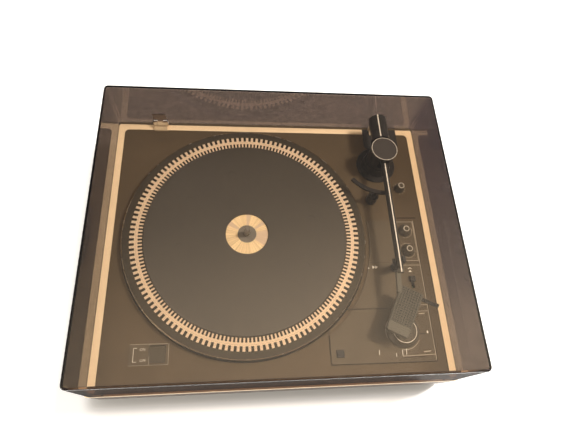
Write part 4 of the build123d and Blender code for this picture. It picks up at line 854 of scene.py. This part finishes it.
@dataclass
class Tonearm:
    """Painted highlight lines and a bright ring of the tonearm, and the grid on its headshell."""

    axis_height: float = 93.0
    tube_radius: float = 4.0
    highlight_width: float = 1.35
    highlight_front: float = -54.2
    plug_radius: float = 3.95
    highlight_rear: float = 93.5
    highlight_height: float = 0.08
    cap_radius: float = 17.15
    cap_top: float = 103.5
    ring_width: float = 0.58
    head_centre: Point = (144.6, -98.8)
    head_turn: float = 27.5
    head_top: float = 89.5
    grid_pitch: float = 3.1
    bar_width: float = 1.0
    bar_height: float = 0.45
    grid_columns: int = 8
    grid_rows: int = 14
    grid_shift: float = 5.6
    highlight_lean: float = 13.5
    insets: tuple = (("counterweight", 0.2, 0.6), ("force_dial", 0.1, 0.1))

    def highlight_line(self, name: str, body: str, radius: float, lean: float, front: float,
                  rear: float) -> None:
        """Add a painted highlight line on a round part that lies along Y over the pivot's X.

        Args:
            name: The piece's name.
            body: The body it rides on.
            radius: The round part's radius.
            lean: Angle of the line from the top towards -X, in degrees.
            front: Y of the line's front end.
            rear: Y of its rear end.
        """
        half = math.degrees(self.highlight_width / 2 / radius)
        section = band((PIVOT[0], self.axis_height), (radius - 0.05, radius + self.highlight_height),
                       90.0 + lean - half, 90.0 + lean + half, 4)
        Piece(name).bar(section, front, rear).place(body, BRIGHT_RING_AND_HIGHLIGHT, SMOOTH)

    def neck(self) -> None:
        """Set the tube's plug and the flat neck that carries the headshell's corner."""
        steps = 32
        ring = [on_circle((PIVOT[0], self.axis_height), self.plug_radius, math.tau * k / steps)
                for k in range(steps)]
        piece = Piece("arm_neck_block").bar(ring, self.highlight_front, self.highlight_front + 4.3)
        piece.wedge([(138.9, -77.0), (144.6, -77.0), (144.9, -53.0), (139.6, -53.0)],
                    [85.0, 85.0, 88.6, 88.6], [90.1, 90.1, 93.4, 93.4])
        made = piece.softened(0.35).place("arm_tilt", HEAD_PLASTIC, SMOOTH)
        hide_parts("arm_neck")

    def head_grid(self) -> None:
        """Add the raised bars of the headshell's grid, and a dark plate under them that paints
        shade in its pockets.
        """
        copies = Copies("headshell_grid")
        long = self.grid_rows * self.grid_pitch + self.bar_width
        wide = self.grid_columns * self.grid_pitch + self.bar_width
        height = copies.number("Bar height", self.bar_height * MM)
        width = copies.number("Bar width", self.bar_width * MM)
        rows = copies.number("Rows", self.grid_rows + 1, whole=True)
        columns = copies.number("Columns", self.grid_columns + 1, whole=True)
        across = copies.block((wide * MM, width, height))
        along = copies.block((width, long * MM, height))
        shapes = [copies.over_grid(across, (1, rows), (0.0, self.grid_rows * self.grid_pitch * MM)),
                  copies.over_grid(along, (columns, 1),
                                   (self.grid_columns * self.grid_pitch * MM, 0.0))]
        turn = math.radians(-self.head_turn)
        middle = (self.head_centre[0] - self.grid_shift * math.sin(turn),
                  self.head_centre[1] + self.grid_shift * math.cos(turn))
        shape = copies.moved(copies.joined(shapes), (
            middle[0] * MM, middle[1] * MM, (self.head_top + self.bar_height / 2) * MM),
            (0, 0, turn))
        copies.place(shape, "arm_tilt", HEAD_PLASTIC)
        corners = [(x * wide / 2, y * long / 2) for x, y in ((-1, -1), (1, -1), (1, 1), (-1, 1))]
        outline = [(middle[0] + x * math.cos(turn) - y * math.sin(turn),
                    middle[1] + x * math.sin(turn) + y * math.cos(turn)) for x, y in corners]
        # Painted shade: a dark plate under the bars darkens the pockets between them.
        Piece("headshell_pocket_shade").at(self.head_top - 0.05, self.head_top + 0.05).slab(
            outline).place("arm_tilt", POCKET_SHADE)

    def build(self) -> None:
        """Build every piece of the tonearm's dress."""
        # Painted highlights: bright lines along the tube, the counterweight and the force dial
        # stand in for glints of light on them.
        self.highlight_line("arm_highlight_stripe", "arm_tilt", self.tube_radius, 0.0, self.highlight_front,
                       self.highlight_rear)
        for name, front, rear in self.insets:
            low, high = node_span(name)
            self.highlight_line(f"{name}_line", "counterweight", (high.x - low.x) / 2, self.highlight_lean,
                           low.y + front, high.y - rear)
        edge = self.cap_radius
        Piece("pivot_cap_ring").at(self.cap_top - 0.1, self.cap_top + 0.10).ring(
            PIVOT, edge - self.ring_width, edge - 0.1).place("arm_swing", BRIGHT_RING_AND_HIGHLIGHT, SMOOTH)
        self.neck()
        self.head_grid()


# Lines on the panel and deck, printed unless said otherwise: the width of each, then its points, in
# millimetres.
PANEL_MARKS = (
    (0.5, (145.0, -138.6), (144.7, -144.8)), (0.5, (149.8, -137.6), (149.5, -143.9)),
    (0.5, (137.3, -142.3), (137.0, -145.6)), (0.5, (117.0, -137.6), (116.7, -143.2)),
)
# Pale lines, mostly painted highlights along the raised panel's edges and grooves, with two short
# light label patches.
PANEL_HIGHLIGHT_LINES = (
    (0.45, (162.4, 24.9), (183.6, 24.9), (183.6, -28.9), (162.4, -28.9)),
    (0.55, (184.9, 25.9), (184.9, -150.6)), (0.45, (150.0, -34.9), (184.4, -35.0)),
    (0.5, (176.6, -86.1), (184.4, -86.1)), (0.5, (168.0, -93.8), (184.4, -93.6)),
    (0.55, (144.9, -145.6), (163.3, -145.2), (184.4, -144.7)),
    (1.0, (172.4, -96.8), (179.2, -96.4)), (1.0, (171.2, -141.6), (179.2, -140.9)),
)
# Dark lines on the panel: a leader by the dial, and painted shade along the panel's edges.
PANEL_DARK = (
    (0.9, (164.4, -120.1), (175.8, -120.5)), (0.5, (146.0, -147.2), (172.0, -146.8)),
    (0.9, (59.9, -89.5), (133.5, -89.5)),
)
# Dark lines on the deck: seams and painted shade along the raised panel's edges.
DECK_DARK = (
    (0.9, (58.9, -90.2), (58.9, -152.6), (185.0, -152.6)),
    (1.3, (162.0, 31.2), (189.4, 31.2)), (1.0, (186.3, 26.0), (186.3, -152.6)),
)
# Centres of the pitch knobs' scales, with the spans of their arcs in degrees.
KNOB_SCALES = (
    ((171.6, 12.5), ((-110, -15), (-10, 20))),
    ((171.6, -14.9), ((-125, -5), (65, 150))),
)
# Reach of a cheek's step from the hinge's middle, its bottom and its top.
CHEEK_STEPS = ((8.2, 60.3, 70.3), (4.2, 68.6, 70.3))
# Width of each knob's ring, and how far it stands in from the edge.
KNOB_RINGS = {"antiskate_knob": (0.65, 0.1), "pitch_knob_rear": (0.6, 0.4),
              "pitch_knob_front": (0.6, 0.4), "selector_dial": (0.6, 0.6)}


@dataclass
class Controls:
    """Bright rings on the knobs and the printed marks of the panels."""

    panel_top: float = 61.3
    deck: float = 60.0
    field_top: float = 60.9
    ink: float = 0.05
    outline_gap: float = 0.3
    rocker_line: float = 8.4
    tick_reach: Point = (7.4, 8.9)
    cheek_reach: float = 9.8
    cheek_front: float = 169.5
    cheek_rear: float = 171.5
    dial_arc_centre: Point = (148.8, -117.2)
    shade_line_inset: float = 15.35

    def inked(self, piece: Piece, level: float) -> Piece:
        """Let a piece's flat shapes that follow lie as print at a level."""
        return piece.at(level, level + self.ink)

    def knob_ring(self, node: str, width: float, inset: float) -> None:
        """Add a bright ring near the top edge of a round knob."""
        high = node_span(node)[1].z
        centre = node_centre(node).xy
        top = [v.co.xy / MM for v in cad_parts[node].data.vertices
               if v.co.z / MM > high - 0.02]
        edge = max((spot - centre).length for spot in top) - inset
        Piece(node + "_ring").at(high - 0.05, high + 0.08).ring(
            centre, edge - width, edge - 0.03, 48).place(node, BRIGHT_RING_AND_HIGHLIGHT, SMOOTH)

    def power_marks(self) -> None:
        """Print ON and OFF and their bracket, and the outlines, on the power plate."""
        low, high = node_span("power_plate")
        marks = self.inked(Piece("power_marks"), high.z)
        marks.words("ON", 3.9, (-151.8, -128.1), 0.07)
        marks.words("OFF", 3.9, (-150.8, -139.8), 0.07)
        marks.stroke([(-158.0, -126.4), (-161.5, -126.4), (-161.5, -141.0), (-158.0, -141.0)], 0.4)
        marks.place("plinth", PRINT)
        gap = self.outline_gap
        lines = self.inked(Piece("power_outline"), self.deck)
        lines.stroke([(low.x - gap, high.y + gap), (high.x + gap, high.y + gap),
                      (high.x + gap, low.y - gap), (low.x - gap, low.y - gap)], 0.35)
        x = node_centre("power_rocker").x - self.rocker_line
        ends = node_span("power_switch")
        self.inked(lines, high.z).stroke([(x, end.y) for end in ends], 0.3)
        lines.place("plinth", PRINT_AND_HIGHLIGHT_LINE)

    def scale_marks(self) -> None:
        """Print the small radial marks round the skating knob."""
        centre = node_centre("antiskate_knob").xy
        ticks = self.inked(Piece("antiskate_ticks"), self.deck)
        for angle in range(-90, 240, 30):
            ticks.stroke([on_circle(centre, reach, math.radians(angle))
                          for reach in self.tick_reach], 0.5)
        ticks.place("plinth", PRINT_AND_HIGHLIGHT_LINE)

    def hinge_cheeks(self) -> None:
        """Close the lid's notches beside and over the hinge's ears with brown plates that stand in
        for the shade in the gaps.
        """
        for side in ("left", "right"):
            x = node_centre(f"hinge_base_{side}").x
            cheek = Piece(f"hinge_cheeks_{side}")
            for sign in (-1, 1):
                for near, low, high in CHEEK_STEPS:
                    ends = sorted((x + sign * near, x + sign * self.cheek_reach))
                    cheek.at(low, high).plate(*ends, self.cheek_front, self.cheek_rear)
            cheek.place("plinth", HINGE_BROWN)

    def panel_marks(self) -> None:
        """Print the arrows, the lift symbol and the dial's marks on the control panel."""
        marks = self.inked(Piece("panel_marks"), self.panel_top)
        for x in (121.6, 125.2):
            marks.slab([(x, -39.2), (x + 3.5, -37.0), (x, -34.8)])
        marks.plate(115.8, 117.4, -38.9, -37.7)
        marks.arc((170.2, -41.0), 2.3, 25.0, 155.0, 0.7)
        marks.slab([(168.0, -43.8), (172.3, -43.8), (170.2, -41.6)])
        marks.plate(178.5, 180.1, -120.3, -117.4)
        marks.plate(160.6, 162.0, -116.1, -114.9)
        for width, *points in PANEL_MARKS:
            marks.stroke(points, width)
        marks.words("33", 3.3, (163.2, -110.2), 0.08)
        marks.place("plinth", PRINT)

    def panel_lines(self) -> None:
        """Print the scales of the panel, paint pale highlight lines along its raised edges and
        grooves, and lay dark lines of seams and painted shade beside them.
        """
        lines = self.inked(Piece("panel_print_and_highlight_lines"), self.panel_top)
        for width, *points in PANEL_HIGHLIGHT_LINES:
            lines.stroke(points, width)
        lines.arc(self.dial_arc_centre, 21.4, -100.0, -30.0, 0.5)
        lines.arc(self.dial_arc_centre, 21.0, 145.0, 200.0, 0.5)
        self.inked(lines, self.field_top)
        for centre, spans in KNOB_SCALES:
            for start, end in spans:
                for angle in range(start, end, 9):
                    lines.arc(centre, 9.9, angle, angle + 5.5, 0.5)
        lines.place("plinth", PRINT_AND_HIGHLIGHT_LINE)
        # Painted shade: one long dark line on the deck, set in from the right trim.
        shade_line_x = node_span("trim_right")[0].x + self.shade_line_inset
        dark = Piece("panel_dark_lines")
        for level, table in ((self.panel_top, PANEL_DARK), (self.deck, (
                *DECK_DARK, (0.8, (shade_line_x, 60.0), (shade_line_x, -165.0))))):
            for width, *points in table:
                self.inked(dark, level).stroke(points, width)
        dark.place("plinth", SEAM_AND_SHADE_DARK)

    def build(self) -> None:
        """Build the rings and marks."""
        for node, (width, inset) in KNOB_RINGS.items():
            self.knob_ring(node, width, inset)
        self.power_marks()
        self.panel_marks()
        self.panel_lines()
        self.scale_marks()
        self.hinge_cheeks()


@dataclass(frozen=True)
class Lamp:
    """A square soft box that points at the object and isn't mirrored, unless asked for."""

    name: str
    place: Triple
    size: float
    watts: float
    colour: Colour
    mirrored: bool = False
    seen_through: bool = True

    def hang(self) -> None:
        """Add the lamp to the scene."""
        data = bpy.data.lights.new(self.name, "AREA")
        data.shape = "SQUARE"
        data.size = self.size
        data.energy = self.watts
        data.color = self.colour
        made = added(self.name, data)
        made.location = self.place
        made.rotation_euler = (-Vector(self.place)).to_track_quat("-Z", "Y").to_euler()
        made.visible_glossy = self.mirrored
        made.visible_transmission = self.seen_through


LAMPS = (
    Lamp("key", (0.80, 0.14, 1.20), 0.18, 26.0, (1.0, 0.97, 0.93), seen_through=False),
    Lamp("rim_light", (-0.80, -0.55, 0.16), 0.25, 2.5, (1.0, 0.92, 0.80), mirrored=True),
    Lamp("soft_front", (0.25, -1.60, 0.62), 0.5, 5.0, (1.0, 0.96, 0.90)),
    Lamp("soft_rear", (-0.25, 1.40, 0.92), 0.5, 5.5, (1.0, 0.96, 0.90)),
    Lamp("soft_right", (1.35, 0.45, 0.90), 0.4, 5.5, (1.0, 0.97, 0.93)),
)


@dataclass
class Studio:
    """Pale floor, soft lamps and the camera."""

    floor_half: float = 4.0
    floor_colour: Colour = (0.86, 0.855, 0.845)
    floor_glow: float = 0.48
    shade_inner: float = 2.0
    shade_outer: float = 22.0
    eye: Triple = (-50.24, -199.53, 585.53)
    right: Triple = (0.9929, -0.0486, 0.1088)
    up: Triple = (0.0002, 0.9138, 0.4061)
    forward: Triple = (0.1192, 0.4032, -0.9073)
    lens: float = 27.746
    sensor: float = 36.0
    wall_light: Colour = (1.0, 0.985, 0.96)
    room_light: Colour = (0.225, 0.21, 0.20)
    front_light: Colour = (0.14, 0.13, 0.12)
    front_low: float = 0.6
    front_span: Point = (-0.15, -0.45)
    low_span: Point = (0.62, 0.26)
    glow_light: Colour = (1.38, 1.18, 0.92)
    glow_spot: Point = (0.42, 0.04)
    glow_squash: Point = (0.65, 1.90)
    glow_core: float = 0.15
    glow_edge: float = 0.90

    def floor(self) -> None:
        """Lay the floor under the feet, with its glow faded out round the object as painted contact
        shade.
        """
        graph = Graph("floor")
        colour = graph.shades(self.floor_colour, graph.noise(400.0, 3.0), 0.01)
        path = graph.node("ShaderNodeLightPath").outputs
        seen = graph.math("MAXIMUM", graph.math("MAXIMUM", path["Is Camera Ray"],
                                                path["Is Glossy Ray"]),
                          path["Is Transmission Ray"])
        # Painted shade: the floor's glow fades out between shade_outer and shade_inner millimetres
        # from the object's footprint, so the floor stays darker right round it.
        low, high = (Vector(corner) for corner in cad_box)
        spread = graph.vector("SUBTRACT", graph.vector("ABSOLUTE", graph.place),
                              (high.x, -low.y, 0.0))
        spread = graph.vector("MAXIMUM", spread, (0.0, 0.0, 0.0))
        away = graph.vector("LENGTH", graph.vector("MULTIPLY", spread, (1.0, 1.0, 0.0)))
        clear = graph.span(away, self.shade_inner * MM, self.shade_outer * MM)
        glow = graph.math("MULTIPLY", seen, graph.math("MULTIPLY", clear, self.floor_glow))
        material = graph.finish(graph.node("ShaderNodeBsdfPrincipled", {
            "Base Color": colour, "Roughness": 0.8, "Specular IOR Level": 0.2,
            "Emission Color": (1.0, 0.99, 0.97), "Emission Strength": glow}))
        data = bpy.data.meshes.new("floor")
        half = self.floor_half
        data.from_pydata([(-half, -half, 0), (half, -half, 0), (half, half, 0),
                          (-half, half, 0)], [], [(0, 1, 2, 3)])
        data.materials.append(material)
        made = added("floor", data)

    def world(self) -> None:
        """Fill the room with soft light: bright walls, a glow overhead and a dim front."""
        graph = Graph("room", room=True)
        off = graph.vector("SUBTRACT", graph.place, (*self.glow_spot, 0.0))
        away = graph.vector("LENGTH", graph.vector("MULTIPLY", off, (*self.glow_squash, 0.0)))
        glow = graph.span(away, self.glow_core, self.glow_edge, 1.0, 0.0)
        front = graph.span(graph.along(Y_AXIS), *self.front_span)
        low = graph.math("MULTIPLY", graph.span(graph.along(Z_AXIS), *self.low_span),
                         graph.span(front, 0.0, 1.0, 1.0, self.front_low))
        light = graph.blend(glow, self.room_light, self.glow_light)
        light = graph.blend(front, light, self.front_light)
        light = graph.blend(low, light, self.wall_light)
        bpy.context.scene.world = graph.finish(graph.node("ShaderNodeBackground", {0: light}))

    def camera(self) -> None:
        """Set the camera where the photograph was taken from."""
        data = bpy.data.cameras.new("camera")
        data.lens = self.lens
        data.sensor_width = self.sensor
        made = added("camera", data)
        axes = [Vector(self.right).normalized(), Vector(self.up).normalized(),
                -Vector(self.forward).normalized()]
        turn = Matrix([[axis[row] for axis in axes] for row in range(3)]).to_4x4()
        made.matrix_world = Matrix.Translation(Vector(self.eye) * MM) @ turn
        bpy.context.scene.camera = made

    def build(self) -> None:
        """Set up the whole studio."""
        self.camera()
        self.floor()
        self.world()
        for lamp in LAMPS:
            lamp.hang()
        bpy.context.scene.view_settings.view_transform = "Standard"


def main() -> None:
    """Build the studio and dress the record player."""
    logging.basicConfig(level=logging.INFO, format="%(name)s %(message)s")
    Studio().build()
    dress_nodes()
    Platter().build()
    Tonearm().build()
    Controls().build()


if __name__ == "__main__":
    main()
